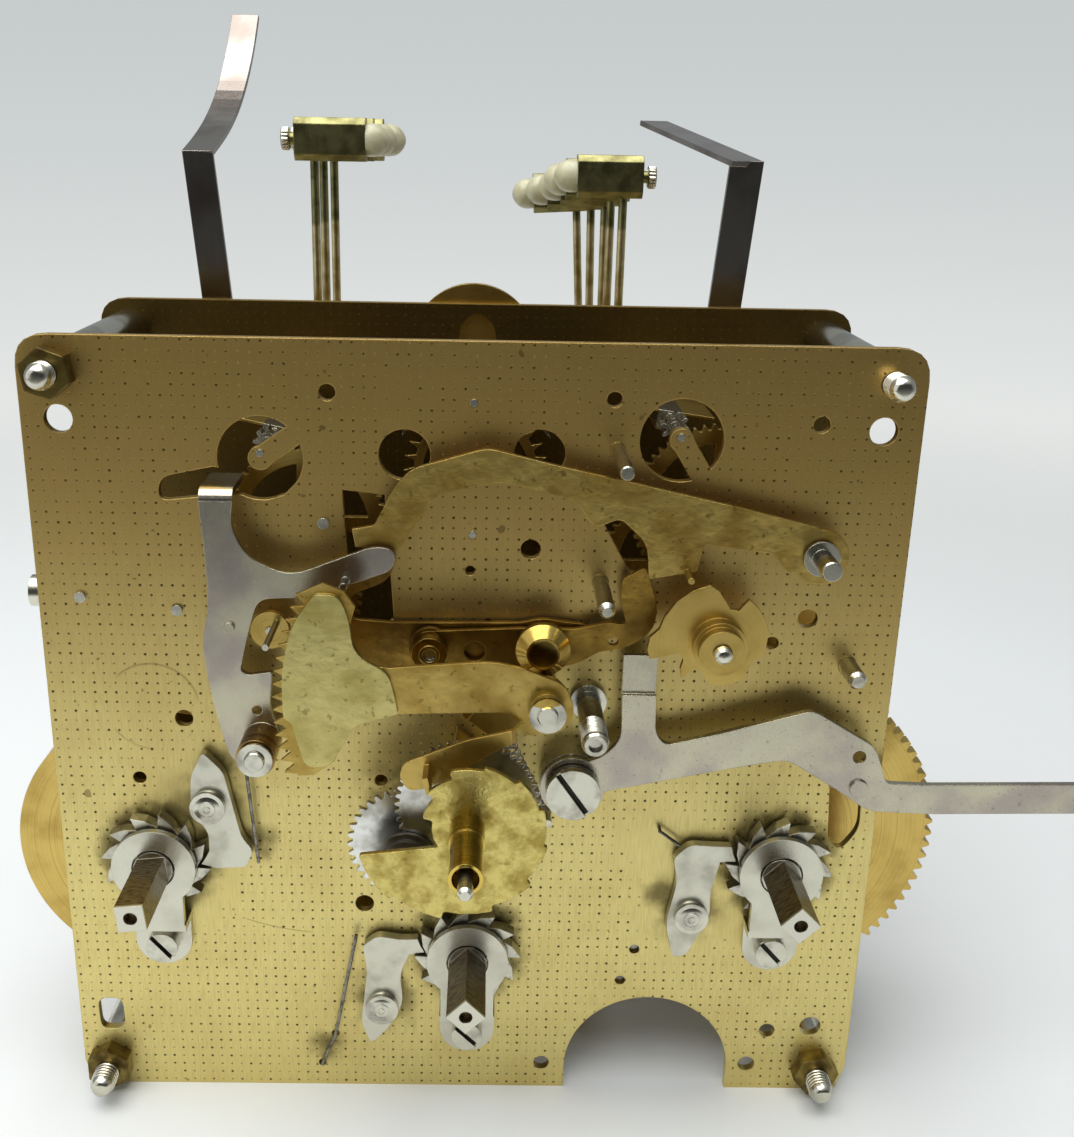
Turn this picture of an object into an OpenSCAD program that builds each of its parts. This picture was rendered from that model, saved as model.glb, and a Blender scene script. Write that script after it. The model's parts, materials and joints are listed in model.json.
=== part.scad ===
/* [Plates] */
// Width of both plates
plate_w = 138; // [136:1:146]
// Height of the plates above the centre arbor
plate_top = 68.5; // [67.5:0.5:72]
// Depth of the plates below the centre arbor
plate_drop = 66.5; // [66:0.5:70]
// Thickness of each plate
plate_t = 1.5; // [1.2:0.1:1.8]
// Clear distance between the plates
plate_gap = 44; // [44:0.5:48]
// Corner radius at the top of the plates
corner_r = 5; // [3:0.5:6]
// Radius of the arch cut in the bottom edge
arch_r = 14.7; // [13:0.1:15]
// Distance of the arch centre to the right of the centre arbor
arch_x = 32.3; // [31:0.1:33]

/* [Pillars] */
// Radius of a pillar between the plates
pillar_r = 3.5; // [3:0.1:4]
// Radius of a pillar stud
stud_r = 2; // [1.9:0.05:2.1]
// Length of a stud in front of the front plate
stud_len = 8; // [7:0.5:9]
// Distance of the top studs from the centre line
stud_x = 63.8; // [63:0.1:64]
// Height of the top studs
stud_top = 63; // [62.5:0.1:63.2]
// Depth of the bottom studs
stud_drop = 61.6; // [61:0.1:61.8]
// Width of a pillar nut across its flats
nut_af = 7; // [6.8:0.1:7.2]
// Thickness of a pillar nut
nut_t = 3; // [2.5:0.1:3.5]
// Radius of the corner mounting holes
mount_hole_r = 2.2; // [2:0.1:2.4]

/* [Winding] */
// Distance of the outer winding arbors from the centre line
wind_x = 52.6; // [52:0.1:53]
// Depth of the outer winding arbors
wind_drop = 19.5; // [19:0.1:20]
// Depth of the middle winding arbor
wind_mid_drop = 37.2; // [37:0.1:37.6]
// Width of a winding square across its flats
square_af = 4.5; // [4:0.1:4.5]
// Distance of a square's end from the front plate
square_end = 19.3; // [18:0.1:21]
// Radius of a winding arbor
wind_r = 3.3; // [3.2:0.05:3.4]
// Tip radius of a ratchet wheel
ratchet_r = 9.2; // [9:0.05:9.3]
// Root radius of a ratchet wheel
ratchet_root = 6.8; // [6.6:0.1:7]
// Number of ratchet teeth
ratchet_n = 12; // [12:1:12]
// Thickness of a ratchet wheel
ratchet_t = 2.4; // [2:0.1:2.6]
// Thickness of a click
click_t = 1.8; // [1.5:0.1:2]
// Radius of a click rivet's head
rivet_r = 2.9; // [2.5:0.1:3.1]
// Thickness of a retainer plate
retainer_t = 1.2; // [1:0.1:1.4]

/* [Barrels] */
// Radius of the outer barrels
barrel_r = 25; // [24:0.1:25.2]
// Radius of the middle barrel
barrel_mid_r = 23; // [22:0.1:23.5]
// Wall of a barrel
barrel_wall = 1; // [0.8:0.1:1.2]
// Number of turns drawn of each mainspring
spring_turns = 7; // [5:1:8]

/* [Motion work] */
// Outer radius of the hour pipe
pipe_r = 2.45; // [2.4:0.05:2.55]
// Distance of the hour pipe's end from the front plate
pipe_end = 38.3; // [38:0.1:39]
// Distance of the minute arbor's end from the front plate
minute_end = 42.5; // [42:0.1:43.5]
// Distance between the centre arbor and the minute wheel's stud
motion_d = 13.1; // [13:0.05:13.2]
// Thickness of the hour snail
snail_t = 0.9; // [0.8:0.1:1.2]

/* [Levers] */
// Thickness of a steel or brass lever
lever_t = 1; // [0.8:0.05:1.05]
// Thickness of the chime and silent lever
silent_t = 1.2; // [1:0.1:1.3]
// Length of the silent lever's arm past its rivet
silent_reach = 46; // [40:1:60]
// Radius of the levers' studs
lever_stud_r = 1.6; // [1.4:0.1:1.7]

/* [Hammers] */
// Radius of a hammer rod
hammer_rod_r = 0.8; // [0.6:0.05:0.9]
// Length of a hammer head
head_len = 13; // [12:0.5:14]
// Height of a hammer head
head_h = 7.6; // [7:0.1:8]
// Depth of a hammer head
head_d = 5; // [4.5:0.1:5.2]
// Length of a nylon tip
tip_len = 4.2; // [3.8:0.1:4.6]
// Distance between neighbouring hammers
hammer_pitch = 6; // [5.8:0.1:6.4]
// Distance of the first hammer behind the front plate's face
hammer_y = 55; // [55:0.5:57]

/* [Straps] */
// Width of a strap
strap_w = 5.4; // [5:0.1:6]
// Thickness of a strap
strap_t = 1; // [0.8:0.1:1.2]
// Height of the straps' bend above the centre arbor
strap_bend = 94.3; // [92:0.1:97]

/* [Hidden] */
$fn = 48;

brass = [0.78, 0.66, 0.36];
dark_brass = [0.55, 0.46, 0.25];
steel = [0.68, 0.67, 0.64];
bright_steel = [0.8, 0.8, 0.8];
dark_steel = [0.35, 0.34, 0.33];
nylon = [0.88, 0.86, 0.76];

// Depths are distances behind the front face of the front plate; heights in front of it are negative
back_y = plate_t + plate_gap;
rear_y = back_y + plate_t;
play = 0.05;
gap = 0.3;
front_gap = 0.6;

// Arbor places in the plane of the plates, right and up from the centre arbor
strike_c = [-wind_x, -wind_drop];
going_c = [0, -wind_mid_drop];
chime_c = [wind_x, -wind_drop];

// Tooth counts and modules of the trains
great_z = 72;
great_m = 0.75;
strike_great_m = 0.65;
chime_great_z = 80;
chime_great_m = 0.74;
fine_m = 0.5;
pin_z = 56;
pin_m = 0.55;
second_z = 72;
centre_z = 72;
third_z = 70;
strike_third_z = 48;
gather_z = 50;
warn_z = 51;
chime_second_z = 60;
lock_z = 60;
chime_fourth_z = 56;
leaves = 8;
strong_leaves = 10;
cannon_z = 15;
minute_z = 36;
minute_leaves = 10;
hour_z = 50;
drum_drive_z = 20;
drum_z = 40;
drum_m = 0.6;
escape_teeth = 30;
escape_r = 13.5;
arbor_r = 0.9;

function reach(za, zb, m) = (za + zb) * m / 2;
// Point at distance ra from a and rb from b, on the left of the line from a to b when side is 1
function meet(a, ra, b, rb, side) =
    let (d = norm(b - a), u = (b - a) / d, k = (ra * ra - rb * rb + d * d) / (2 * d),
         h = sqrt(max(0, ra * ra - k * k)))
    a + u * k + side * h * [-u[1], u[0]];
function dir(a, b) = atan2(b[1] - a[1], b[0] - a[0]);
// Angle of a tooth of the second gear that puts its gap on the first gear's tooth
function mesh_angle(a1, z1, z2, phi) = phi + 180 - z1 / z2 * (a1 - phi) - 180 / z2;

centre_c = [0, 0];
second_c = meet(going_c, reach(great_z, strong_leaves, great_m), centre_c,
    reach(second_z, strong_leaves, fine_m), -1);
escape_c = [0, 38.2];
pallet_c = [0, 59.1];
third_c = meet(centre_c, reach(centre_z, leaves, fine_m), escape_c, reach(third_z, leaves, fine_m), -1);
pin_c = strike_c + [0, reach(great_z, strong_leaves, strike_great_m)];
gather_c = [-31.6, 23.4];
strike_fly_c = [-32.8, 50.8];
strike_third_c = meet(pin_c, reach(pin_z, leaves, pin_m), gather_c,
    reach(strike_third_z, leaves, fine_m), 1);
warn_c = meet(gather_c, reach(gather_z, leaves, fine_m), strike_fly_c, reach(warn_z, leaves, fine_m), -1);
lock_c = [38.4, 23.5];
chime_fly_c = [31.9, 54.3];
chime_second_c = meet(chime_c, reach(chime_great_z, strong_leaves, chime_great_m), lock_c,
    reach(chime_second_z, leaves, fine_m), -1);
chime_fourth_c = meet(lock_c, reach(lock_z, leaves, fine_m), chime_fly_c,
    reach(chime_fourth_z, leaves, fine_m), -1);
drum_c = chime_second_c + reach(drum_drive_z, drum_z, drum_m) * [cos(200), sin(200)];
minute_c = motion_d * [cos(223.6), sin(223.6)];

wind_places = [strike_c, going_c, chime_c];
click_pivots = [strike_c + [9.3, 10.8], going_c + [-14.9, -10.6], chime_c + [-14.4, -9.2]];
click_r = 1.5;
ratchet_faces = [-6, 180, 173];
screw_drop = 16.4;

// Lever places
rack_c = [11.8, 15.2];
hook_c = [-33.2, 5.2];
lock_lever_c = [53.9, 36.8];
warning_c = [-6.5, 20.3];
lifting_c = [11.3, 21.6];
silent_c = [16.8, -3];

post_a = [20.4, 30.6];
post_b = [19.2, 10.4];
post_c = [61.2, 17];
post_pin = [22.2, 52.3];
spring_post = [13.1, -10.8];
minute_shank_r = 2.4;
silent_r = 2.4;
rack_post_r = 1.9;
foot_screw_r = 1.25;

// Layers in front of the plate: each lever's near face is its distance from the plate
lifting_h = 0.6;
warning_h = 2.1;
lock_h = 3.6;
silent_h = 4.2;
hook_h = 5.1;
cam_h = 6.6;
gather_h = 3.3;
minute_h = 12.5;
hour_h = 16.9;
rack_h = 14.4;
rack_t = 0.7;
snail_h = 23.5;
tail_h = 18;

// A flat piece drawn right and up, from depth y0 back to depth y1
module flat(y0, y1) {
    translate([0, y1, 0])
        rotate([90, 0, 0])
            linear_extrude(y1 - y0)
                children();
}

// A round bar along the depth
module rod(c, r, y0, y1, sides = 32) {
    translate([c[0], y1, c[1]])
        rotate([90, 0, 0])
            cylinder(r = r, h = y1 - y0, $fn = sides);
}

// A round bar with a conical front end
module pointed_rod(c, r, y0, y1, point) {
    translate([c[0], y1, c[1]])
        rotate([90, 0, 0])
            rotate_extrude($fn = 32)
                polygon([[0, 0], [r, 0], [r, y1 - y0 - point], [r - point * 0.6, y1 - y0], [0, y1 - y0]]);
}

module ring(c, r_out, r_in, y0, y1) {
    flat(y0, y1)
        translate(c)
            difference() {
                circle(r_out);
                circle(r_in);
            }
}

// An outline whose corners are drawn as curves: each point is [x, z, distance at which its curve starts]
function unit(v) = v / norm(v);
function rounded(p, n = 5) = [for (i = [0:len(p) - 1])
    let (a = p[(i + len(p) - 1) % len(p)], b = p[i], c = p[(i + 1) % len(p)],
         q = [b[0], b[1]], ua = [a[0], a[1]] - q, uc = [c[0], c[1]] - q,
         d = min(b[2], norm(ua) * 0.48, norm(uc) * 0.48),
         s = q + unit(ua) * d, e = q + unit(uc) * d)
    each (b[2] == 0 ? [q] :
        [for (k = [0:n]) let (t = k / n) s * (1 - t) * (1 - t) + q * 2 * t * (1 - t) + e * t * t])];

// Half width of an involute tooth at radius r, as an angle
press = 25;
fullness = 0.84;
function inv(a) = tan(a) * 180 / PI - a;
function half_tooth(z, m, r) =
    let (rb = z * m / 2 * cos(press))
    90 / z * fullness + inv(press) - (r > rb ? inv(acos(rb / r)) : 0);
module gear(z, m, a = 0) {
    rp = z * m / 2;
    rt = rp + 0.72 * m;
    rr = rp - 0.95 * m;
    hr = half_tooth(z, m, rr);
    hp = half_tooth(z, m, rp);
    ht = half_tooth(z, m, rt);
    polygon([for (i = [0:z - 1]) let (c = a + i * 360 / z)
        each [rr * [cos(c - hr), sin(c - hr)], rp * [cos(c - hp), sin(c - hp)],
              rt * [cos(c - ht), sin(c - ht)], rt * [cos(c + ht), sin(c + ht)],
              rp * [cos(c + hp), sin(c + hp)], rr * [cos(c + hr), sin(c + hr)]]]);
}

// A wheel with four crossings, its rim 2.2 deep
module crossed_gear(z, m, a) {
    rim = z * m / 2 - 0.95 * m - 2.2;
    difference() {
        gear(z, m, a);
        difference() {
            circle(rim);
            circle(4);
            square([2 * rim, 2.6], center = true);
            square([2.6, 2 * rim], center = true);
        }
    }
}

// An arbor between the plates with its wheel and its pinion
module wheel_arbor(c, z, m, a, wheel_y, leaves_n, leaf_m, leaf_a, pinion_y, pinion_len, crossed = true) {
    color(brass)
        flat(wheel_y, wheel_y + 1.2)
            translate(c)
                difference() {
                    if (crossed)
                        crossed_gear(z, m, a);
                    else
                        gear(z, m, a);
                    circle(arbor_r + 0.6);
                }
    color(bright_steel) {
        rod(c, arbor_r + 0.6, wheel_y - 0.8, wheel_y + 2);
        flat(pinion_y, pinion_y + pinion_len)
            translate(c)
                gear(leaves_n, leaf_m, leaf_a);
        arbor(c);
    }
}

// A bare arbor with thin pivots that run in both plates
pivot_r = 0.6;
module arbor(c) {
    blind = len([for (b = blind_places) if (b == c) 1]) > 0;
    rod(c, arbor_r, plate_t + 0.4, back_y - 0.4);
    rod(c, pivot_r, blind ? blind_skin + play : -0.1, rear_y + 0.1);
}

// Angles at which each wheel stands so that the teeth mesh
great_a = 0;
second_pinion_a = mesh_angle(great_a, great_z, strong_leaves, dir(going_c, second_c));
second_a = 0;
centre_pinion_a = mesh_angle(second_a, second_z, strong_leaves, dir(second_c, centre_c));
centre_a = 0;
third_pinion_a = mesh_angle(centre_a, centre_z, leaves, dir(centre_c, third_c));
third_a = 0;
escape_pinion_a = mesh_angle(third_a, third_z, leaves, dir(third_c, escape_c));
strike_great_a = 0;
pin_pinion_a = mesh_angle(strike_great_a, great_z, strong_leaves, dir(strike_c, pin_c));
pin_a = 0;
strike_third_pinion_a = mesh_angle(pin_a, pin_z, leaves, dir(pin_c, strike_third_c));
strike_third_a = 0;
gather_pinion_a = mesh_angle(strike_third_a, strike_third_z, leaves, dir(strike_third_c, gather_c));
gather_a = 0;
warn_pinion_a = mesh_angle(gather_a, gather_z, leaves, dir(gather_c, warn_c));
warn_a = 0;
strike_fly_a = mesh_angle(warn_a, warn_z, leaves, dir(warn_c, strike_fly_c));
chime_great_a = 0;
chime_second_pinion_a = mesh_angle(chime_great_a, chime_great_z, strong_leaves, dir(chime_c, chime_second_c));
chime_second_a = 0;
lock_pinion_a = mesh_angle(chime_second_a, chime_second_z, leaves, dir(chime_second_c, lock_c));
lock_a = 0;
chime_fourth_pinion_a = mesh_angle(lock_a, lock_z, leaves, dir(lock_c, chime_fourth_c));
chime_fourth_a = 0;
chime_fly_a = mesh_angle(chime_fourth_a, chime_fourth_z, leaves, dir(chime_fourth_c, chime_fly_c));
drum_a = mesh_angle(0, drum_drive_z, drum_z, dir(chime_second_c, drum_c));
cannon_a = 0;
minute_a = mesh_angle(cannon_a, cannon_z, minute_z, dir(centre_c, minute_c));
minute_pinion_a = 0;
hour_a = mesh_angle(minute_pinion_a, minute_leaves, hour_z, dir(minute_c, centre_c));
cannon_m = 2 * motion_d / (cannon_z + minute_z);
hour_m = 2 * motion_d / (minute_leaves + hour_z);

// Depths of the wheels between the plates
going_drum_y = [14, 33];
going_great_y = [34.5, 37];
strike_drum_y = [4, 24];
strike_great_y = [25, 27.5];
chime_great_y = [10.5, 13];
chime_drum_y = [13.2, 33];

// Studs, posts and rivets fixed in the front plate: place and shank radius
fixings = concat(
    [for (c = [rack_c, hook_c, lock_lever_c, warning_c, lifting_c]) [c, lever_stud_r]],
    [[minute_c, minute_shank_r], [silent_c, silent_r], [post_a, 1.3], [post_b, 2], [post_c, 1.5],
     [post_pin, 1.1], [spring_post, 0.7]],
    [for (c = click_pivots) [c, click_r]],
    [for (c = wind_places) [c + [0, -screw_drop], foot_screw_r]]);
fit = 0.02;

stud_places = [[-stud_x, stud_top], [stud_x, stud_top], [-stud_x, -stud_drop], [stud_x - 1, -stud_drop]];
// Pivots that come through the front plate, and those whose holes there are blind
open_places = [escape_c, pallet_c, gather_c, strike_fly_c, lock_c, chime_fly_c];
blind_places = [second_c, third_c, pin_c, strike_third_c, warn_c, chime_second_c, chime_fourth_c];
blind_skin = 0.4;

module plate_outline() {
    difference() {
        polygon(rounded([[-plate_w / 2, plate_top, corner_r], [plate_w / 2, plate_top, corner_r],
            [plate_w / 2 - 0.3, -plate_drop + 4.5, 0.5], [plate_w / 2 - 2, -plate_drop, 0.5],
            [-plate_w / 2 + 2, -plate_drop, 0.5], [-plate_w / 2 + 0.3, -plate_drop + 4.5, 0.5]]));
        translate([arch_x, -61.9])
            circle(arch_r);
        translate([arch_x - arch_r, -plate_drop - 1])
            square([2 * arch_r, plate_drop - 61.9 + 1]);
    }
}

// Holes that both plates share: pillars, winding arbors, pivots and mounting holes
module shared_holes(pivots) {
    for (c = stud_places)
        translate(c)
            circle(stud_r + play);
    for (c = wind_places)
        translate(c)
            circle(wind_r + play);
    for (c = pivots)
        translate(c)
            circle(pivot_r + play);
    circle(arbor_r + 0.2 + play);
    for (c = [[-63.2, 55.7], [62.9, 55.7]])
        translate(c)
            circle(mount_hole_r);
}

// A fly's window with the tongue that holds its pivot; the tongue comes in at the given angle
module fly_window(c, r, angle) {
    translate(c)
        difference() {
            circle(r);
            circle(1.9);
            rotate(angle)
                translate([0, -1.7])
                    square([r + 1, 3.4]);
        }
}

module plate_windows() {
    fly_window([-32.8, 50], 6.6, 35);
    fly_window([32, 53.8], 6.5, -58);
    for (c = [[-10.6, 50.9], [10.2, 51.2]])
        translate(c)
            circle(4);
    // slot for the rack hook's tab
    polygon(rounded([[-48.9, 43, 1.8], [-48.4, 46.8, 1.8], [-40, 48.6, 0], [-34, 47, 0],
        [-28, 47.2, 1.5], [-28.8, 44, 1.5], [-38, 44.2, 0]]));
    // window behind the rack
    polygon([[-20.3, 45.2], [-13.7, 44.5], [-12.4, 23.1], [-19.2, 22.3]]);
    // sickle slot under the lock lever
    polygon(rounded([[20.4, 40.7, 0.5], [22.8, 42.2, 1], [27.9, 37.4, 2], [28.3, 32, 0.5], [25, 32.3, 0.5]]));
    // slot beside the chime barrel
    polygon(rounded([[60.3, -2.8, 0.5], [61.1, -15, 1], [63.4, -17.2, 1.5], [66.3, -13, 2], [65.7, -1.8, 0.5]]));
    translate([-63.3, -49])
        rotate(2)
            polygon(rounded([[-2.2, 0.5, 1.8], [2.2, 0.5, 1.8], [2.2, -6, 1.8], [-2.2, -6, 1.8]]));
    for (h = [[61.6, -53, 1.9], [53.9, -54, 1.4], [50.7, -61.2, 1.5], [13.5, -61.4, 1.4],
              [29.2, -37.3, 0.9], [27, -43.7, 0.9], [-47, 6, 1.5], [-55, -4.9, 1.1],
              [-14.8, -4.9, 1.1], [-17.9, -28.6, 1.6], [9.2, 36, 1.6], [54, 25, 1.6],
              [48.6, 20.7, 1.1], [21.4, 60, 1.2], [53.3, 56.6, 1.3], [-22.3, 60.4, 1.3],
              [-23.5, -55.5, 0.7], [-26, -61.8, 0.7], [2.8, 23.6, 0.7], [-0.3, 32.3, 0.8]])
        translate([h[0], h[1]])
            circle(h[2], $fn = 24);
}

module front_plate() {
    color(brass)
        difference() {
            flat(0, plate_t)
                difference() {
                    plate_outline();
                    shared_holes(open_places);
                    plate_windows();
                    for (f = fixings)
                        translate(f[0])
                            circle(f[1] + fit);
                }
            for (c = blind_places)
                rod(c, pivot_r + play, blind_skin, plate_t + 1, 48);
        }
}

arch_hole_w = 4;
module back_plate() {
    color(brass)
        flat(back_y, rear_y)
            difference() {
                plate_outline();
                shared_holes(concat(open_places, blind_places));
                // arch through which the crutch passes
                polygon(rounded([[-arch_hole_w, 58, 0.5], [-arch_hole_w + 1, 65, 2], [0, 67.3, 2],
                    [arch_hole_w - 1, 65, 2], [arch_hole_w, 58, 0.5]]));
                translate(chime_second_c)
                    circle(arbor_r + play);
                translate(pin_c)
                    circle(arbor_r + play);
            }
}

// The two top studs are shorter than the bottom ones
stud_cut = [1.4, 3, 0, 0];
nut_turn = [40, 0, 30, 10];
module plate_pillars() {
    color(steel)
        for (i = [0:3]) {
            c = stud_places[i];
            rod(c, pillar_r, plate_t, back_y);
            pointed_rod(c, stud_r, -stud_len + stud_cut[i], plate_t, 1.2);
            rod(c, stud_r, back_y, rear_y + nut_t + 1.5);
        }
}

module hex_nut(i, y0) {
    flat(y0, y0 + nut_t)
        translate(stud_places[i])
            difference() {
                rotate(nut_turn[i])
                    circle(nut_af / 2 / cos(30), $fn = 6);
                circle(stud_r + play);
            }
}

module pillar_nuts() {
    color(dark_brass) {
        for (i = [0, 2, 3])
            hex_nut(i, -nut_t);
        for (i = [0:3])
            hex_nut(i, rear_y);
    }
}

// Retainer: a ring over the ratchet, a neck, and a foot that is joggled down to the plate
ring_r = 7;
ring_h = 3.6;
foot_top = -11.2;
foot_w = 9.6;
neck_w = 9.2;
foot_drop = 20.9;
module retainer(c) {
    difference() {
        union() {
            flat(-ring_h - retainer_t, -ring_h)
                translate(c) {
                    circle(ring_r);
                    translate([-neck_w / 2, foot_top - 0.8])
                        square([neck_w, 8]);
                }
            translate([c[0] - foot_w / 2, -ring_h - retainer_t, c[1] + foot_top - 0.8])
                cube([foot_w, ring_h + retainer_t, retainer_t]);
            flat(-retainer_t, 0)
                translate(c) {
                    translate([0, -screw_drop + 0.4])
                        circle(foot_w / 2);
                    translate([-foot_w / 2, -screw_drop + 0.4])
                        square([foot_w, screw_drop + foot_top - 0.8]);
                }
        }
        rod(c, wind_r + gap, -ring_h - retainer_t - 1, 1);
        rod(c + [0, -screw_drop], foot_screw_r + fit, -retainer_t - 1, 1);
    }
}

module ratchet_retainers() {
    color(bright_steel)
        for (c = wind_places)
            retainer(c);
}

module slotted_head(c, r, y0, h, slot_w, angle) {
    difference() {
        rod(c, r, y0 - h, y0);
        translate([c[0], y0 - h, c[1]])
            rotate([0, angle, 0])
                cube([2 * r + 1, 1.2, slot_w], center = true);
    }
}

module retainer_screws() {
    color(bright_steel)
        for (i = [0:2]) {
            c = wind_places[i] + [0, -screw_drop];
            slotted_head(c, 2.7, -retainer_t, 2, 0.8, [50, 45, 48][i]);
            rod(c, foot_screw_r, -retainer_t - 0.1, plate_t - 0.2);
        }
}

// Clicks, drawn from their ratchet's centre; the left one is held on the right side
click_h = 0.6;
// Points of a click's bite, from the ratchet's steep face: [radius, angle from the face]
click_bite = [[9.2, 19.5], [8.33, 11.8], [7.5, 3.6], [10.1, 0]];
function bite(i, k) = let (a = ratchet_faces[i] + (i == 0 ? 1 : -1) * click_bite[k][1])
    [click_bite[k][0] * cos(a), click_bite[k][0] * sin(a), 0];
module click_shape(i) {
    if (i == 0)
        polygon(rounded([[8.7, 20.6, 1.2], [12, 17, 1], [14.5, 4.8, 2], [16.4, 2.4, 1.2], [15, -0.8, 1],
            bite(i, 3), bite(i, 2), bite(i, 1), bite(i, 0), [9.1, 6, 2], [6.3, 9, 2], [6.6, 16, 1]]));
    else if (i == 1)
        polygon(rounded([[-18.2, 1.6, 1.2], [-15.6, 3.6, 1.2], [-11.4, 2.9, 1], bite(i, 0), bite(i, 1), bite(i, 2),
            bite(i, 3), [-11.8, -4, 2], [-11.2, -10, 2], [-14, -15.4, 1], [-17, -18.6, 1.2],
            [-18.6, -14, 1.5], [-17.4, -3, 2]]));
    else
        polygon(rounded([[-18, 1.8, 1.2], [-15.4, 4.4, 1.2], [-11.5, 4.2, 1], bite(i, 0), bite(i, 1), bite(i, 2),
            bite(i, 3), [-11.4, -5, 2], [-11, -9, 2], [-14.6, -17, 1], [-17, -17.8, 1.2],
            [-18.6, -11, 2], [-17, -2.4, 2]]));
}
module click_body(i) {
    color(bright_steel)
        flat(-click_h - click_t, -click_h)
            difference() {
                translate(wind_places[i])
                    click_shape(i);
                translate(click_pivots[i])
                    circle(click_r + play);
            }
}
module strike_click() {
    click_body(0);
}
module going_click() {
    click_body(1);
}
module chime_click() {
    click_body(2);
}

module click_rivets() {
    color(bright_steel)
        for (c = click_pivots) {
            rod(c, click_r, -click_h - click_t - 0.15, plate_t - 0.2);
            rod(c, rivet_r, -click_h - click_t - 1.3, -click_h - click_t - 0.15);
            rod(c, click_r + 0.8, -click_h + 0.1, 0);
        }
}

// A straight round wire from one point to another
module wire(a, b, r) {
    v = b - a;
    translate(a)
        rotate([0, acos(v[2] / norm(v)), atan2(v[1], v[0])])
            cylinder(r = r, h = norm(v), $fn = 8);
}
module click_springs() {
    color(steel) {
        wire([-37.2, 0, -1.5], [-37.0, -2.0, -1.5], 0.3);
        wire([-37.0, -1.8, -1.2], [-35.6, -1.4, -20], 0.3);
        wire([-19.3, -1.6, -33.9], [-23.5, -1.2, -55.5], 0.3);
        wire([-23.5, -1.2, -55.3], [-26, -0.35, -61.8], 0.3);
        wire([-26, 1.2, -61.8], [-26, -0.6, -61.8], 0.3);
        wire([32.2, 0, -13.1], [32.2, -1.7, -13.1], 0.3);
        wire([32, -1.5, -12.9], [35.7, -1.5, -15.7], 0.3);
    }
}

// Winding arbor with its square, and the ratchet wheel on it
module ratchet_shape(face, way) {
    step = 360 / ratchet_n;
    polygon([for (k = [0:ratchet_n - 1]) let (a = face + k * step * way)
        each [ratchet_root * [cos(a), sin(a)], ratchet_r * [cos(a), sin(a)],
              (ratchet_root + ratchet_r) / 2 * [cos(a + way * step / 2), sin(a + way * step / 2)]]]);
}
module winding_arbor(i) {
    c = wind_places[i];
    color(steel) {
        difference() {
            union() {
                rod(c, wind_r, -ring_h - 1.4, rear_y - 0.2);
                flat(-square_end, -ring_h - 1.4)
                    translate(c)
                        rotate([6, 45, 45][i])
                            square(square_af, center = true);
            }
            rod(c, 1.1, -square_end - 1, -square_end + 1.5, 24);
        }
    }
    color(bright_steel)
        flat(-front_gap - ratchet_t, -front_gap)
            translate(c)
                difference() {
                    ratchet_shape(ratchet_faces[i], i == 0 ? -1 : 1);
                    circle(wind_r);
                }
}
module strike_winding_arbor() {
    winding_arbor(0);
}
module going_winding_arbor() {
    winding_arbor(1);
}
module chime_winding_arbor() {
    winding_arbor(2);
}

// Barrel: toothed great wheel, drum shell and cap, running on the winding arbor
module barrel(c, r, drum, wheel, z, m, a) {
    color(brass) {
        flat(wheel[0], wheel[1])
            translate(c)
                difference() {
                    gear(z, m, a);
                    circle(wind_r + play);
                }
    }
    color(brass)
        translate([c[0], drum[1], c[1]])
            rotate([90, 0, 0])
                rotate_extrude($fn = 96)
                    polygon([[wind_r + play, 0], [r, 0], [r, drum[1] - drum[0]],
                        [wind_r + play, drum[1] - drum[0]], [wind_r + play, drum[1] - drum[0] - barrel_wall],
                        [r - barrel_wall, drum[1] - drum[0] - barrel_wall],
                        [r - barrel_wall, barrel_wall], [wind_r + play, barrel_wall]]);
    color(dark_brass)
        ring(c, 6.5, wind_r + play, min(drum[1], wheel[1]) - 0.1, max(drum[0], wheel[0]) + 0.1);
}
module strike_barrel() {
    barrel(strike_c, barrel_r, strike_drum_y, strike_great_y, great_z, strike_great_m, strike_great_a);
}
module going_barrel() {
    barrel(going_c, barrel_mid_r, going_drum_y, going_great_y, great_z, great_m, great_a);
}
module chime_barrel() {
    barrel(chime_c, barrel_r, chime_drum_y, chime_great_y, chime_great_z, chime_great_m, chime_great_a);
}

// Mainspring: a flat strip wound as a spiral, inside its barrel
strip_t = 0.5;
module mainspring(c, r, drum) {
    r0 = wind_r + 1.5;
    r1 = r - barrel_wall - 1;
    n = spring_turns * 20;
    flat(drum[0] + barrel_wall + 1, drum[1] - barrel_wall - 1)
        translate(c)
            polygon(concat(
                [for (i = [0:n]) let (q = r0 + (r1 - r0) * i / n, a = i * 18) q * [cos(a), sin(a)]],
                [for (i = [n:-1:0]) let (q = r0 + (r1 - r0) * i / n + strip_t, a = i * 18)
                    q * [cos(a), sin(a)]]));
}
module mainsprings() {
    color(dark_steel) {
        mainspring(strike_c, barrel_r, strike_drum_y);
        mainspring(going_c, barrel_mid_r, going_drum_y);
        mainspring(chime_c, barrel_r, chime_drum_y);
    }
}

// Going train
module second_wheel() {
    wheel_arbor(second_c, second_z, fine_m, second_a, 7, strong_leaves, great_m, second_pinion_a, 34, 3.5);
}
module centre_arbor() {
    c = centre_c;
    color(brass)
        flat(38.5, 39.7)
            difference() {
                crossed_gear(centre_z, fine_m, centre_a);
                circle(1.8);
            }
    color(bright_steel) {
        rod(c, 1.8, 37.6, 40.6);
        flat(6, 9.4)
            gear(strong_leaves, fine_m, centre_pinion_a);
        rod(c, arbor_r + 0.2, plate_t + 0.4, rear_y + 0.2);
        pointed_rod(c, arbor_r + 0.2, -minute_end, plate_t + 0.5, 0.6);
    }
}
module third_wheel() {
    wheel_arbor(third_c, third_z, fine_m, third_a, 22, leaves, fine_m, third_pinion_a, 37.7, 2.8);
}

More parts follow.
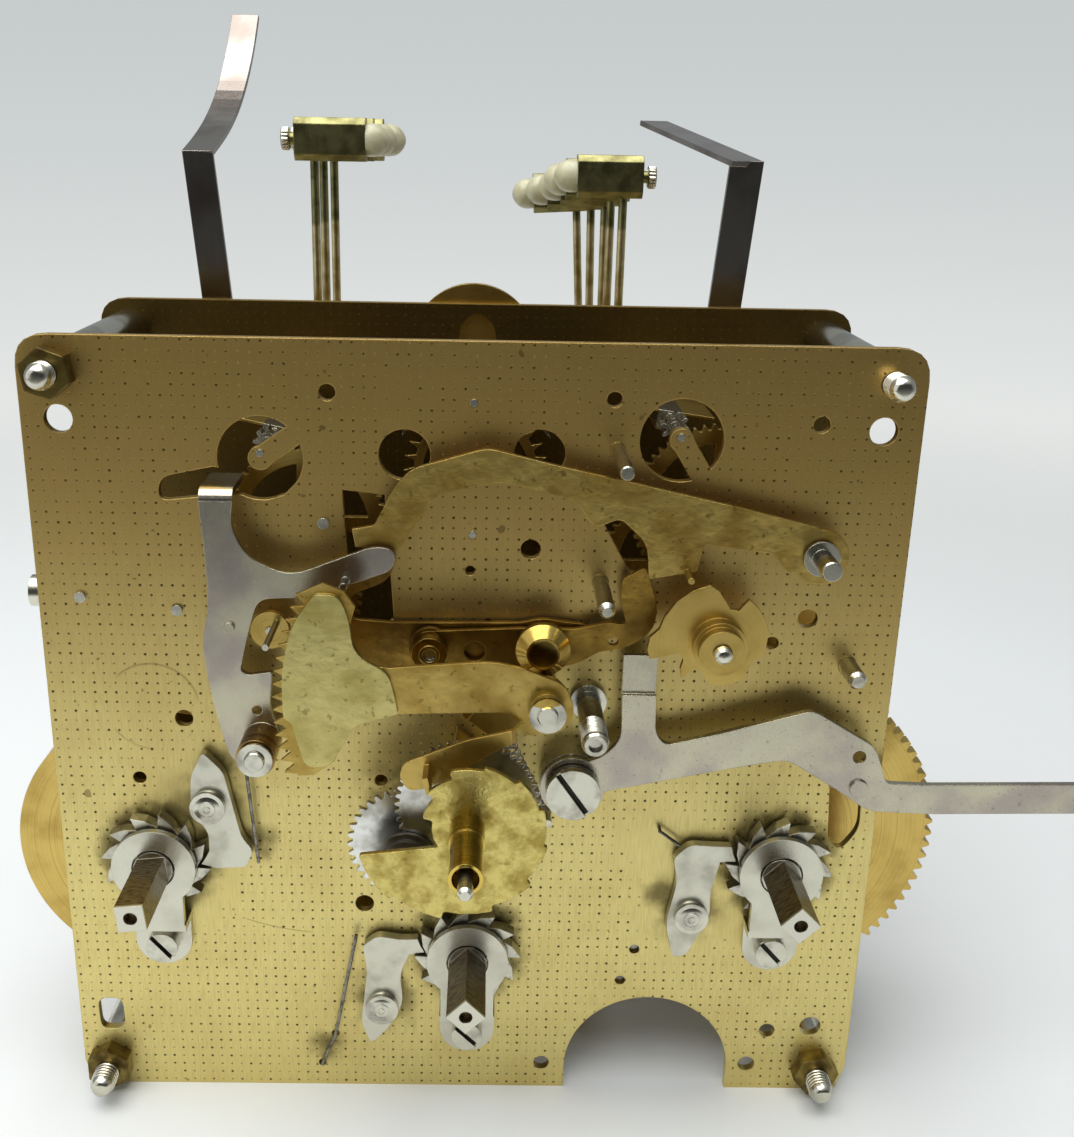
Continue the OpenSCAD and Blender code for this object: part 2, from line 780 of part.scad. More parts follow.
pallet_gap = 0.4;
module escape_wheel() {
    c = escape_c;
    color(brass)
        flat(41, 42)
            translate(c)
                difference() {
                    polygon([for (i = [0:escape_teeth - 1]) let (a = i * 12)
                        each [escape_r * [cos(a), sin(a)], (escape_r - 2) * [cos(a + 2.5), sin(a + 2.5)],
                              (escape_r - 2) * [cos(a + 9), sin(a + 9)]]]);
                    difference() {
                        circle(escape_r - 3.6);
                        circle(3);
                        square([2 * escape_r, 2], center = true);
                        square([2, 2 * escape_r], center = true);
                    }
                    circle(arbor_r + 0.6);
                }
    color(bright_steel) {
        rod(c, arbor_r + 0.6, 40.2, 42.8);
        flat(21.2, 24)
            translate(c)
                gear(leaves, fine_m, escape_pinion_a);
        arbor(c);
    }
}

// Pallets over the escape wheel, their arbor, and the crutch behind the back plate
pallet_span = escape_r + pallet_gap;
module pallet_arbor() {
    drop = pallet_c[1] - escape_c[1];
    color(bright_steel) {
        flat(40.8, 42.2)
            translate(pallet_c)
                difference() {
                    polygon(rounded([[0, 3, 2], [5, 0, 1], [12.8, -drop + 9.4, 0.5], [13.8, -drop + 6.4, 0.3],
                        [11.6, -drop + 9.2, 0.5], [3.4, -3.6, 2], [-3.4, -3.6, 2],
                        [-11.6, -drop + 9.2, 0.5], [-13.8, -drop + 6.4, 0.3],
                        [-12.8, -drop + 9.4, 0.5], [-5, 0, 1]]));
                    circle(arbor_r);
                }
        rod(pallet_c, arbor_r, plate_t + 0.4, 52.4);
        rod(pallet_c, pivot_r, -0.1, plate_t + 0.4);
    }
    color(steel) {
        flat(51.2, 52.2)
            translate(pallet_c)
                difference() {
                    union() {
                        circle(2.6);
                        translate([-1.3, -34])
                            square([2.6, 34]);
                        translate([-3.5, -36])
                            square([7, 3]);
                    }
                    circle(arbor_r);
                    translate([-1, -37])
                        square([2, 3.4]);
                }
    }
}

// Motion work
cannon_r = 1.9;
module cannon_pinion() {
    color(steel)
        flat(-minute_h - 0.95, -minute_h + 0.3)
            difference() {
                gear(cannon_z, cannon_m, cannon_a);
                circle(arbor_r + 0.2 + play);
            }
    color(brass) {
        ring(centre_c, cannon_r, arbor_r + 0.2 + play, -pipe_end + 4, -0.6);
        // four-pointed lifting cam next to the plate
        flat(-2, -0.6)
            difference() {
                polygon([for (k = [0:3]) each [6.4 * [cos(k * 90 + 20), sin(k * 90 + 20)],
                    3.6 * [cos(k * 90 + 50), sin(k * 90 + 50)], 3.2 * [cos(k * 90 + 80), sin(k * 90 + 80)]]]);
                circle(arbor_r + 0.2 + play);
            }
    }
}
module minute_wheel() {
    color(bright_steel)
        flat(-minute_h - 0.8, -minute_h)
            translate(minute_c)
                difference() {
                    gear(minute_z, cannon_m, minute_a);
                    circle(1 + play);
                }
    color(steel) {
        flat(-hour_h - 1, -minute_h - 0.8)
            translate(minute_c)
                difference() {
                    gear(minute_leaves, hour_m, minute_pinion_a);
                    circle(1 + play);
                }
        ring(minute_c, 4.7, 1 + play, -hour_h - 1.6, -hour_h - 1);
        ring(minute_c, 3.7, 1 + play, -hour_h - 2.2, -hour_h - 1.6);
        ring(minute_c, 2, 1 + play, -hour_h - 2.6, -hour_h - 2.2);
    }
}
module hour_wheel() {
    color(bright_steel)
        flat(-hour_h - 0.8, -hour_h)
            difference() {
                gear(hour_z, hour_m, hour_a);
                circle(pipe_r);
            }
    color(brass) {
        difference() {
            union() {
                rod(centre_c, pipe_r, -pipe_end, -hour_h);
                rod(centre_c, pipe_r + 0.2, -29, -snail_h - snail_t);
                rod(centre_c, 3.6, -snail_h, -hour_h - 0.8);
            }
            rod(centre_c, cannon_r + play, -pipe_end - 1, 1);
        }
    }
}

// Hour snail: radii of its twelve steps from the horn on; the last step runs on under the horn's straight face
snail_radii = [16.9, 15.9, 14.6, 13.6, 12.4, 11.8, 11.1, 10.3, 9.7, 8.3, 6.9, 5.3];
snail_from = -164;
last_step = 51;
module hour_snail() {
    color(brass)
        flat(-snail_h - snail_t, -snail_h)
            difference() {
                polygon(rounded([for (i = [0:11]) for (k = [0:3])
                    let (a = snail_from + 30 * i + (i == 11 ? last_step : 30) * k / 3, q = snail_radii[i])
                    [q * cos(a), q * sin(a), k % 3 == 0 ? 0.5 : 0]]));
                circle(pipe_r + fit);
            }
}

// Strike train
module strike_pin_wheel() {
    c = pin_c;
    wheel_arbor(c, pin_z, pin_m, pin_a, 32, strong_leaves, strike_great_m, pin_pinion_a, 24.6, 3.4, false);
    color(steel) {
        for (k = [0:7])
            rod(c + 12.6 * [cos(k * 45 + 10), sin(k * 45 + 10)], 0.6, 29.6, 32);
        rod(c, arbor_r, back_y - 0.5, hammer_y + 14);
        // lifting star behind the back plate
        flat(hammer_y - 2, hammer_y + 13)
            translate(c)
                difference() {
                    circle(6.2, $fn = 6);
                    circle(arbor_r);
                }
    }
}
module strike_third_wheel() {
    wheel_arbor(strike_third_c, strike_third_z, fine_m, strike_third_a, 28.4, leaves, pin_m,
        strike_third_pinion_a, 31.4, 2.6);
}
module gathering_arbor() {
    wheel_arbor(gather_c, gather_z, fine_m, gather_a, 12, leaves, fine_m, gather_pinion_a, 27.8, 2.6);
    color(bright_steel)
        rod(gather_c, pivot_r, -gather_h - 1.6, 0);
}
gather_pin = 1.7 * [cos(50), sin(50)];
module gathering_pallet() {
    color(brass) {
        ring(gather_c, 1.8, pivot_r + fit, -gather_h, -0.6);
        ring(gather_c, 3.1, pivot_r + fit, -gather_h - 1.2, -gather_h);
    }
    color(bright_steel)
        rod(gather_c + gather_pin, 0.5, -rack_h - rack_t + 0.1, -gather_h - 1.2, 20);
}
module strike_warning_wheel() {
    wheel_arbor(warn_c, warn_z, fine_m, warn_a, 8, leaves, fine_m, warn_pinion_a, 11.4, 2.6);
}

// Fly: two thin blades on a pinion arbor
module fly(c, pinion_a, blade_a, pinion_y) {
    color(brass)
        translate([c[0], 14, c[1]])
            rotate([0, blade_a, 0]) {
                difference() {
                    union() {
                        translate([-7.2, 0, arbor_r])
                            cube([14.4, 26, 0.4]);
                        translate([-2, 0, -2])
                            cube([4, 26, 3.2]);
                    }
                    rod([0, 0], arbor_r, -1, 30);
                }
            }
    color(bright_steel) {
        flat(pinion_y, pinion_y + 2.6)
            translate(c)
                gear(leaves, fine_m, pinion_a);
        arbor(c);
    }
}
module strike_fly() {
    fly(strike_fly_c, strike_fly_a, 12, 7.4);
}
module chime_fly() {
    fly(chime_fly_c, chime_fly_a, 8, 7.4);
}

// Chime train
module chime_second_wheel() {
    c = chime_second_c;
    wheel_arbor(c, chime_second_z, fine_m, chime_second_a, 36, strong_leaves, chime_great_m,
        chime_second_pinion_a, 10, 3.4, false);
    color(bright_steel)
        rod(c, arbor_r, back_y - 0.5, rear_y + 5);
    color(brass)
        flat(rear_y + 2, rear_y + 3.6)
            translate(c)
                difference() {
                    gear(drum_drive_z, drum_m, 0);
                    circle(arbor_r);
                }
}
module locking_arbor() {
    wheel_arbor(lock_c, lock_z, fine_m, lock_a, 30, leaves, fine_m, lock_pinion_a, 35.4, 2.6);
    color(bright_steel) {
        rod(lock_c, pivot_r, -0.5, 0);
        rod(lock_c, pivot_r + 0.3, -cam_h - 5.8, -0.2);
        translate([lock_c[0], -cam_h - 5.5, lock_c[1]])
            rotate([90, 0, 0])
                rotate_extrude($fn = 32)
                    polygon([[0, 0], [1.5, 0], [1.5, 0.4], [1.3, 0.9], [0.9, 1.25], [0.4, 1.4], [0, 1.45]]);
    }
}
cam_pin_c = [33.4, 34.1];
module locking_cam() {
    color(brass)
        flat(-cam_h - 1, -cam_h)
            translate(lock_c)
                difference() {
                    polygon([[-10.9, -1.1], [-10.6, 0.8], [-9.2, 2.2], [-8.5, 4.2], [-6.8, 6.7], [-4.2, 8.7],
                        [-1.8, 9.5], [-0.4, 8.6], [0.9, 6.7], [1.6, 5.6], [2.9, 5.4], [4.4, 7.2], [5.9, 5.9],
                        [7.2, 3.9], [7.8, 1.9], [7.3, -2], [5.6, -2.7], [4.5, -5.7], [3.1, -6.6], [0.9, -7.2],
                        [-0.8, -6.8], [-2.1, -5], [-3.5, -4.3], [-5.3, -5.9], [-5.6, -4.4], [-5.2, -2.8],
                        [-5.9, -1.7], [-10.5, -2.8]]);
                    circle(pivot_r + 0.3);
                }
    color(brass) {
        ring(lock_c, 4.2, pivot_r + 0.3, -cam_h - 3.4, -cam_h - 1);
        ring(lock_c, 3.6, pivot_r + 0.3, -cam_h - 5.4, -cam_h - 3.4);
        ring(lock_c, 3, pivot_r + 0.3, -cam_h, -1);
    }
}
module chime_fourth_wheel() {
    wheel_arbor(chime_fourth_c, chime_fourth_z, fine_m, chime_fourth_a, 8, leaves, fine_m,
        chime_fourth_pinion_a, 29.4, 2.6);
}

// Pinned drum: five rows of pins, one row a hammer, turned by a wheel behind the back plate
drum_r = 8;
drum_pin_h = 1.3;
drum_end_y = hammer_y + 5 * hammer_pitch + 2;
module chime_drum() {
    color(brass) {
        flat(rear_y + 2, rear_y + 3.6)
            translate(drum_c)
                difference() {
                    gear(drum_z, drum_m, drum_a);
                    circle(1.5);
                }
        difference() {
            rod(drum_c, drum_r, rear_y + 4.4, drum_end_y - 4);
            rod(drum_c, 1.5, rear_y, drum_end_y + 3);
        }
    }
    color(bright_steel) {
        rod(drum_c, 1.5, rear_y + 0.4, drum_end_y);
        for (row = [0:4])
            for (k = [0:4])
                let (a = k * 72 + row * 25 + 150)
                    translate([drum_c[0], hammer_y + row * hammer_pitch, drum_c[1]])
                        rotate([0, 90 - a, 0])
                            translate([0, 0, drum_r - 0.3])
                                cylinder(r = 0.5, h = drum_pin_h + 0.3, $fn = 16);
    }
}

// Rack: toothed plate with its arm, hub and tail; a second sector plate lies on its face
tooth_tip = 41.6;
tooth_root = 39.8;
rack_hub = 4;
first_tooth = 154.4;
tooth_step = 2.93;
rack_teeth = 15;
module rack() {
    color(brass) {
        flat(-rack_h - rack_t, -rack_h)
            translate(rack_c)
                difference() {
                    union() {
                        polygon(concat(
                            [for (k = [0:rack_teeth - 1]) let (a = first_tooth + k * tooth_step)
                                each [tooth_tip * [cos(a), sin(a)], tooth_root * [cos(a + 1), sin(a + 1)],
                                      tooth_root * [cos(a + 1.5), sin(a + 1.5)]]],
                            [[-35.6, -11.4], [-32.4, -9], [-31.2, -5.8], [-29.2, -2.6], [-25.8, -1.3],
                             [-22.6, -0.8], [-22, 6.2], [-25.9, 6.8], [-28, 8], [-29.4, 10.5], [-29.6, 13.5],
                             [-28.8, 16.2], [-30.3, 18.4], [-33.5, 19.8]]));
                        polygon(rounded([[-24, 6.5, 0], [-19.4, 6.9, 0], [-8, 7.8, 3], [-3, 6.4, 2], [2.8, 4, 1.5],
                            [4.2, -0.6, 1.5], [2.8, -2.6, 1], [-1.4, -4.2, 0.6], [-3.4, -4.2, 0],
                            [-3.4, -1.9, 0], [-4.9, -1.7, 0.5], [-6.4, -0.5, 1.5], [-24, -1, 0]]));
                        circle(rack_hub);
                    }
                    circle(lever_stud_r + play);
                }
        flat(-rack_h - 2 * rack_t, -rack_h - rack_t)
            translate(rack_c)
                polygon(rounded([[-34.6, 18.3, 0.5], [-31.2, 18.2, 2], [-29.7, 14.5, 2], [-29.2, 9, 2.5],
                    [-24, 5.9, 1.5], [-23, 2, 1.5], [-22.6, -0.7, 0.5], [-29.2, -2.6, 2], [-31, -6, 2],
                    [-33, -9.6, 1.5], [-36.8, -9.8, 1.5], [-38.7, -2.4, 1], [-39.9, -1.6, 1], [-40, 6, 4],
                    [-38.2, 13.4, 3]]));
        ring(rack_c, 2.6, lever_stud_r + play, -rack_h - rack_t - 1.4, -rack_h - rack_t);
        // joggle that lifts the tail over the hour wheel
        translate([rack_c[0] - 3.4, 0, rack_c[1] - 4.2])
            linear_extrude(2.3)
                polygon([[0.4, -rack_h], [-0.1, -rack_h], [-2.2, -tail_h], [-2.7, -tail_h],
                    [-2.7, -tail_h - rack_t], [-2, -tail_h - rack_t], [0.1, -rack_h - rack_t],
                    [0.4, -rack_h - rack_t]]);
        flat(-tail_h - rack_t, -tail_h)
            translate(rack_c)
                polygon(rounded([[-5.5, -1.9, 0], [-11.95, -3.45, 1], [-21.56, -7.37, 1], [-22.34, -9.73, 1.2],
                    [-20.77, -12.08, 1], [-17.83, -11.49, 1.5], [-6.07, -4.24, 0], [-5.5, -4.2, 0]]));
    }
    // steel tab on the tail, reaching to the snail
    color(steel)
        translate([rack_c[0] - 18, -snail_h + 0.2, rack_c[1] - 10.2])
            rotate([0, -12, 0])
                cube([0.8, snail_h - tail_h - 0.5, 2.6]);
    // steel arm behind the hub, to which the rack spring is hooked
    color(dark_steel) {
        difference() {
            union() {
                rod(rack_c, 3.2, -rack_h, -9.2);
                flat(-10, -9.2)
                    polygon([rack_c + [-3, 1], rack_c + [1, -3], [6.4, 8.6], [3.4, 8.2], [-0.3, 11], [0.8, 12.4]]);
            }
            rod(rack_c, rack_post_r + play, -rack_h + 0.6, 0);
            rod(rack_c, lever_stud_r + play, -rack_h - 1, 0);
        }
    }
}

// Rack hook: a tall steel lever with a side arm and a top tab bent back through the plate's slot
hook_bush = 6.5;
tab_bend = [-hook_h + 1, 44.6];
function bend_dir(k) = [cos(180 - k * 15), sin(180 - k * 15)];
module rack_hook() {
    c = hook_c;
    color(steel) {
        flat(-hook_h - lever_t, -hook_h)
            difference() {
                polygon(rounded([[-41.3, 44.7, 0], [-36.2, 44.7, 0], [-36.7, 41, 2], [-34.6, 36, 4],
                    [-28, 32.9, 3], [-14.9, 38, 2], [-11.6, 37.4, 1.8], [-12, 34.2, 1.8], [-19.6, 31.4, 3],
                    [-27, 30.2, 1], [-27, 29.5, 0.5], [-33, 29.2, 2], [-34.6, 24, 2], [-36.2, 17.2, 0.6],
                    [-35, 16.4, 0.6], [-31.2, 17, 0.5], [-31.8, 11, 1], [-30, 4, 3], [-33.2, 0.8, 3], [-38, 1.4, 3],
                    [-39, 4, 3], [-41, 13, 5], [-42, 22, 6], [-40.5, 28, 4], [-40.8, 37, 4]]));
                translate(c)
                    circle(lever_stud_r + play);
                translate([-33.8, 10.4])
                    circle(0.8);
            }
        // tab bent back through the plate's slot
        translate([-41.3, 0, 0])
            rotate([90, 0, 90])
                linear_extrude(5.1)
                    polygon(concat([for (k = [0:6]) tab_bend + (lever_t + 1) * bend_dir(k)],
                        [[4, tab_bend[1] + lever_t + 1], [4, tab_bend[1] + 1]],
                        [for (k = [6:-1:0]) tab_bend + bend_dir(k)]));
        rod([-37.6, 24.4], 0.9, -hook_h - lever_t - 0.5, -hook_h - lever_t);
        // pin of the hook's side arm
        rod([-19.4, 32.4], 0.6, -hook_h - lever_t - 3, -hook_h - lever_t, 20);
    }
    color(dark_brass)
        ring(c, 3.1, lever_stud_r + play, -hook_h - lever_t - hook_bush, -hook_h - lever_t);
}

// Warning lever: long front brass lever, hooked up at its right end
module warning_lever() {
    color(brass)
        flat(-warning_h - lever_t, -warning_h)
            difference() {
                union() {
                    polygon(rounded([[-8.4, 23, 1.5], [7.7, 23.8, 0], [17, 23.8, 1.5], [21.4, 25, 0.5],
                        [24.6, 24.6, 1], [23.4, 28.6, 1.5], [23.6, 32.2, 0.5], [27.2, 34.4, 1], [29.4, 27.6, 2],
                        [28.8, 23.6, 2], [25, 20.8, 2], [20.4, 20, 0], [16, 17.4, 3], [-6, 17.2, 1]]));
                    translate(warning_c)
                        circle(3.4);
                }
                translate(warning_c)
                    circle(lever_stud_r + play);
                translate(lifting_c)
                    circle(stem_r + 1);
                translate(rack_c)
                    circle(rack_post_r + 1);
                translate([0.6, 19.8])
                    circle(1.7);
                translate([22.6, 21.9])
                    circle(0.8);
            }
}

// Lifting lever: wide rear brass lever under the warning lever, with a raised left end
module lifting_lever() {
    color(brass)
        flat(-lifting_h - lever_t, -lifting_h)
            difference() {
                union() {
                    polygon(rounded([[-23, 33, 1], [-14, 36, 2], [-11.8, 35, 1.5], [-13, 31, 2], [-19, 28.6, 1],
                        [-19.5, 24.4, 2], [-12, 23.9, 0], [8, 24.2, 1], [11.3, 25, 2], [15, 24.4, 1],
                        [19, 24, 1.5], [18.6, 17.6, 2], [2.6, 16.6, 0], [2.4, 7.2, 1], [-1.2, 7.2, 1],
                        [-2.6, 16.6, 0], [-19.4, 16.2, 2], [-23.4, 20, 2]]));
                }
                translate(lifting_c)
                    circle(stem_r + play);
                translate(warning_c)
                    circle(lever_stud_r + 1);
                translate(rack_c)
                    circle(rack_post_r + 1);
            }
}

// Lock lever: the long upper brass lever with its lobe resting over the locking cam
module lock_lever() {
    color(brass) {
        flat(-lock_h - lever_t, -lock_h)
            difference() {
                union() {
                    polygon(rounded([[54.6, 41.2, 2], [40.5, 44.6, 0], [25.1, 48, 0], [13, 50.6, 0], [2.2, 53.2, 1.5],
                        [-9.4, 49.8, 2], [-11.9, 46.8, 2], [-15, 40.8, 0.5], [-18.4, 40.2, 0], [-17.9, 37.4, 0],
                        [-11.2, 36.8, 0.5], [-7.1, 43.6, 1], [-5.4, 45.8, 2], [4.1, 48.2, 3], [15.6, 45.4, 2],
                        [18.6, 41.2, 1], [20.4, 41.6, 0.8], [22.6, 42.6, 1.5], [27, 38.6, 2], [27.5, 32.9, 0.5],
                        [34.9, 34.2, 0.5], [35.7, 38.8, 1.2], [46.6, 37.2, 1], [49.4, 33.6, 1.5]]));
                    translate(lock_lever_c)
                        circle(4.4);
                }
                translate(lock_lever_c)
                    circle(lever_stud_r + play);
            }
    }
    color(bright_steel)
        rod(cam_pin_c, 0.5, -cam_h - 2.4, -lock_h - lever_t, 20);
}

// Chime and silent lever: upright finger with its top set back, bridge, knee and long arm
silent_drop = -silent_h - silent_t;
finger_step = 0.9;
module silent_lever() {
    color(steel) {
        flat(silent_drop, -silent_h)
            difference() {
                union() {
                    polygon(rounded([[16, -6.4, 0], [22.9, -3.4, 0.5], [43, 1, 2], [51.5, 2.6, 2], [60.8, -3.2, 2],
                        [65.6, -6.6, 2], [75.7, -7, 2], [63.4 + silent_reach, -6.4, 0.6],
                        [63.4 + silent_reach, -1.2, 0.6], [75.1, -1.8, 2], [68, -1.6, 2], [67.2, 1, 1],
                        [65.6, 5, 1.5], [55, 11.3, 1.5], [40, 6.9, 0], [31.5, 4.8, 1.5], [29.8, 7, 1.5],
                        [29.6, 13.2, 0], [24.2, 13.2, 0], [24.4, 5.6, 2], [21.5, 2.6, 1.5], [16, 0.5, 0]]));
                    translate(silent_c)
                        circle(5.3);
                }
                translate(silent_c)
                    circle(silent_r + play);
                translate([63.2, 3.2])
                    circle(1.1);
            }
        // finger's top, stepped back towards the plate
        flat(silent_drop + finger_step, -silent_h + finger_step)
            translate([24.2, 12.6])
                square([5.4, 7.4]);
        flat(silent_drop, -silent_h + finger_step)
            translate([24.2, 12.6])
                square([5.4, 0.9]);
        rod([63.6, -2.4], 1.5, silent_drop - 0.5, silent_drop);
    }
}

module silent_lever_screw() {
    color(bright_steel) {
        slotted_head(silent_c, 4.4, silent_drop - 0.3, 2.4, 0.9, 55);
        rod(silent_c, silent_r, silent_drop - 0.4, plate_t - 0.2);
        rod(silent_c, 5.4, -silent_h + 0.2, 0);
    }
}

// Studs that carry the levers and the minute wheel, with their retaining clips
stem_r = 1.5;
module stud_with_clip(c, r, end, clip_y) {
    pointed_rod(c, r, -end, plate_t - 0.2, 0.3);
    rod(c, r + 1.2, -clip_y - 0.7, -clip_y);
}
module lever_studs() {
    color(bright_steel) {
        stud_with_clip(rack_c, lever_stud_r, 17.8, rack_h + rack_t + 1.6);
        rod(rack_c, rack_post_r, -rack_h + 1, 0);
        stud_with_clip(hook_c, lever_stud_r, 14.2, hook_h + lever_t + hook_bush + 0.2);
        rod(hook_c, 3, -hook_h + 0.2, 0);
        stud_with_clip(lock_lever_c, lever_stud_r, 12, 4.9);
        rod(lock_lever_c, 3, -lock_h + 0.2, 0);
        rod(minute_c, minute_shank_r, -minute_h + 0.2, plate_t - 0.2);
        rod(minute_c, 1, -hour_h - 2.9, -minute_h + 0.3);
    }
    color(brass) {
        // brass stud of the warning lever, with its steel core
        difference() {
            union() {
                rod(warning_c, lever_stud_r, -6.4, plate_t - 0.2);
                rod(warning_c, 2.8, -6.2, -warning_h - lever_t - 0.2);
            }
            rod(warning_c, 1.1, -7, -5.4, 24);
        }
        // chamfered knob over the lifting lever
        rod(lifting_c, lever_stud_r, 0, plate_t - 0.2);
        rod(lifting_c, stem_r, -6.2, 0);
        translate([lifting_c[0], -5.6, lifting_c[1]])
            rotate([90, 0, 0])
                rotate_extrude($fn = 48)
                    polygon([[0, 0], [4.3, 0], [4.3, 1.2], [2.6, 2.8], [0, 2.8]]);
    }
}

// Plain posts, the hollow threaded post and small rivet ends
module stop_posts() {
    color(bright_steel) {
        pointed_rod(post_pin, 1.1, -15.5, plate_t - 0.2, 0.3);
        pointed_rod(post_a, 1.3, -13.7, plate_t - 0.2, 0.9);
        pointed_rod(post_c, 1.5, -7, plate_t - 0.2, 0.8);
        difference() {
            pointed_rod(post_b, 2, -17.4, plate_t - 0.2, 0.5);
            rod(post_b, 1.1, -18, -11, 24);
        }
        ring(post_b, 3, 2, -1.4, 0);
        rod(spring_post, 0.7, -3.4, plate_t - 0.2, 24);
        for (c = [[-62.2, 27], [-47, 25], [-23.3, 39.8]])
            rod(c, 0.9, -0.5, 0, 24);
    }
}

// Side screw through a bent ear behind the front plate's left edge
module side_screw() {
    color(steel) {
        translate([-plate_w / 2 - 2.6, plate_t + 4, 26])
            rotate([0, 90, 0])
                cylinder(r = 2.6, h = 2.4);
        translate([-plate_w / 2 - 0.3, plate_t + 4, 26])
            rotate([0, 90, 0])
                cylinder(r = 1.4, h = 5);
        translate([-plate_w / 2 + 0.5, plate_t, 22.5])
            cube([1.2, 7.5, 7]);
    }
}

// Back cock with a round head and the suspension post
module back_cock() {
    color(dark_brass)
        flat(rear_y, rear_y + 1.4)
            difference() {
                union() {
                    translate([-0.7, 60.4])
                        circle(11.6);
                    translate([-8, 44])
                        square([14.6, 10]);
                }
                translate(pallet_c)
                    circle(arbor_r + play);
                translate([0, 49])
                    circle(1.6);
            }
    color(brass)
        difference() {
            translate([-3, rear_y + 1.4, 64])
                cube([6, 7.6, 6]);
            translate([-0.3, rear_y + 4, 63])
                cube([0.6, 9, 8]);
        }
}

// Brackets behind the back plate that hold the hammer rods and the drum
strike_hub = [-29, 38];
chime_hub = [24, 38];
hub_rod_r = 1.5;
strike_bracket_y = hammer_y + 17;
chime_bracket_posts = [[18.5, 28], [51, -3.5]];
strike_bracket_posts = [[-56.5, 19], [-50, -2.5]];
module hammer_brackets() {
    color(brass) {
        flat(drum_end_y - 3.6, drum_end_y - 2.4)
            difference() {
                polygon(rounded([[16, 44, 3], [30, 44, 3], [44, 20, 3], [56, 0, 3], [50, -8, 3], [26, -4, 3],
                    [14, 26, 3]]));
                translate(drum_c)
                    circle(1.5 + play);
            }
        for (c = chime_bracket_posts)
            rod(c, 1.8, rear_y, drum_end_y - 3);
        flat(strike_bracket_y, strike_bracket_y + 1.2)
            difference() {
                polygon(rounded([[-24, 43, 3], [-34, 43, 3], [-60, 22, 3], [-60, -6, 3], [-46, -6, 3],
                    [-45, 1, 3], [-24, 33, 3]]));
                translate(pin_c)
                    circle(arbor_r + play);
            }
        for (c = strike_bracket_posts)
            rod(c, 1.8, rear_y, strike_bracket_y + 0.6);
    }
    color(steel) {
        rod(strike_hub, hub_rod_r, rear_y, strike_bracket_y + 1.2);
        rod(chime_hub, hub_rod_r, rear_y, drum_end_y - 2.4);
    }
}

// One hammer: hub, rod, head with a nylon tip on one side and a set screw on the other, and a tail
module hammer(hub, y, foot_x, tilt, top, side, tail_a, tail_len, length) {
    head_z = top - hub[1];
    color(brass) {
        // hub and tail
        flat(y - 2, y + 2)
            translate(hub)
                difference() {
                    union() {
                        circle(4.2);
                        translate([foot_x - hub[0], 3.6])
                            circle(2);
                    }
                    circle(hub_rod_r + play);
                }
        flat(y - 0.6, y + 0.6)
            translate(hub)
                rotate(tail_a)
                    translate([3.8, -1.2])
                        square([tail_len, 2.4]);
    }
    translate([foot_x, y, hub[1]])
        rotate([0, tilt, 0]) {
            color(brass) {
                translate([0, 0, 4.6])
                    cylinder(r = hammer_rod_r, h = head_z - head_h / 2 - 4, $fn = 24);
                difference() {
                    translate([side > 0 ? -3.4 : 3.4 - length, head_d / 2, head_z - head_h / 2])
                        rotate([90, 0, 0])
                            linear_extrude(head_d)
                                square([length, head_h]);
                    for (s = [-1, 1])
                        for (k = [0, 1])
                            translate([0, s * head_d / 2, head_z - head_h / 2 + k * head_h])
                                rotate([45, 0, 0])
                                    cube([3 * head_len, 1.6, 1.6], center = true);
                }
            }
            color(nylon)
                translate([side * (length - 3.4), 0, head_z])
                    rotate([0, side * 90, 0])
                        rotate_extrude($fn = 32)
                            polygon([[0, 0], [2.8, 0], [2.85, 1], [2.75, 1.8], [2.4, tip_len - 1.5],
                                [1.6, tip_len - 0.6], [0.7, tip_len - 0.12], [0, tip_len]]);
            color(bright_steel)
                translate([-side * 3.4, 0, head_z])
                    rotate([0, -side * 90, 0]) {
                        cylinder(r = 1.1, h = 1.2, $fn = 24);
                        translate([0, 0, 1])
                            cylinder(r = 1.9, h = 1.4, $fn = 24);
                    }
        }
}

module strike_hammers() {
    for (i = [0:2])
        hammer(strike_hub, hammer_y + i * hammer_pitch, [-30.4, -29.5, -28.2][i], 0, 96.6, 1, 233, 24, head_len);
}
module chime_hammer(i) {
    hammer(chime_hub, hammer_y + i * hammer_pitch, [26.6, 24.9, 24.6, 23, 22.1][i],
        -[0, 0, 0.4, 1.2, 3.2][i], 91 - [0, 0.8, 2, 3, 3.6][i], -1, dir(chime_hub, drum_c), 16, head_len - 0.9);
}
module chime_hammer_1() {
    chime_hammer(0);
}
module chime_hammer_2() {
    chime_hammer(1);
}
module chime_hammer_3() {
    chime_hammer(2);
}
module chime_hammer_4() {
    chime_hammer(3);
}
module chime_hammer_5() {
    chime_hammer(4);
}

// Straps: leaning upright on the back plate, then bent back
strap_foot = 50;
strap_lean = 3.8;
module strap_upright(x, w, way) {
    flat(rear_y, rear_y + strap_t)
        polygon([[x - w / 2, strap_bend], [x + w / 2, strap_bend],
            [x + way * strap_lean + w / 2, strap_foot], [x + way * strap_lean - w / 2, strap_foot]]);
}
strap_reach = 45;
function strap_rise(t) = [strap_reach * t, 12 * t + 14 * t * t * t];
function strap_under(t) = strap_rise(t) + strap_t * unit([12 + 42 * t * t, -strap_reach]);
module left_strap() {
    color(steel) {
        strap_upright(-50.1, strap_w, 1);
        translate([-50.1, rear_y, strap_bend])
            rotate([0, 0, -2])
                translate([-strap_w / 2, 0, 0])
                    rotate([90, 0, 90])
                        linear_extrude(strap_w)
                            polygon(concat([for (k = [0:16]) strap_rise(k / 16)],
                                [for (k = [16:-1:0]) strap_under(k / 16)]));
    }
    color(bright_steel)
        slotted_rear([-46.7, 55]);
}
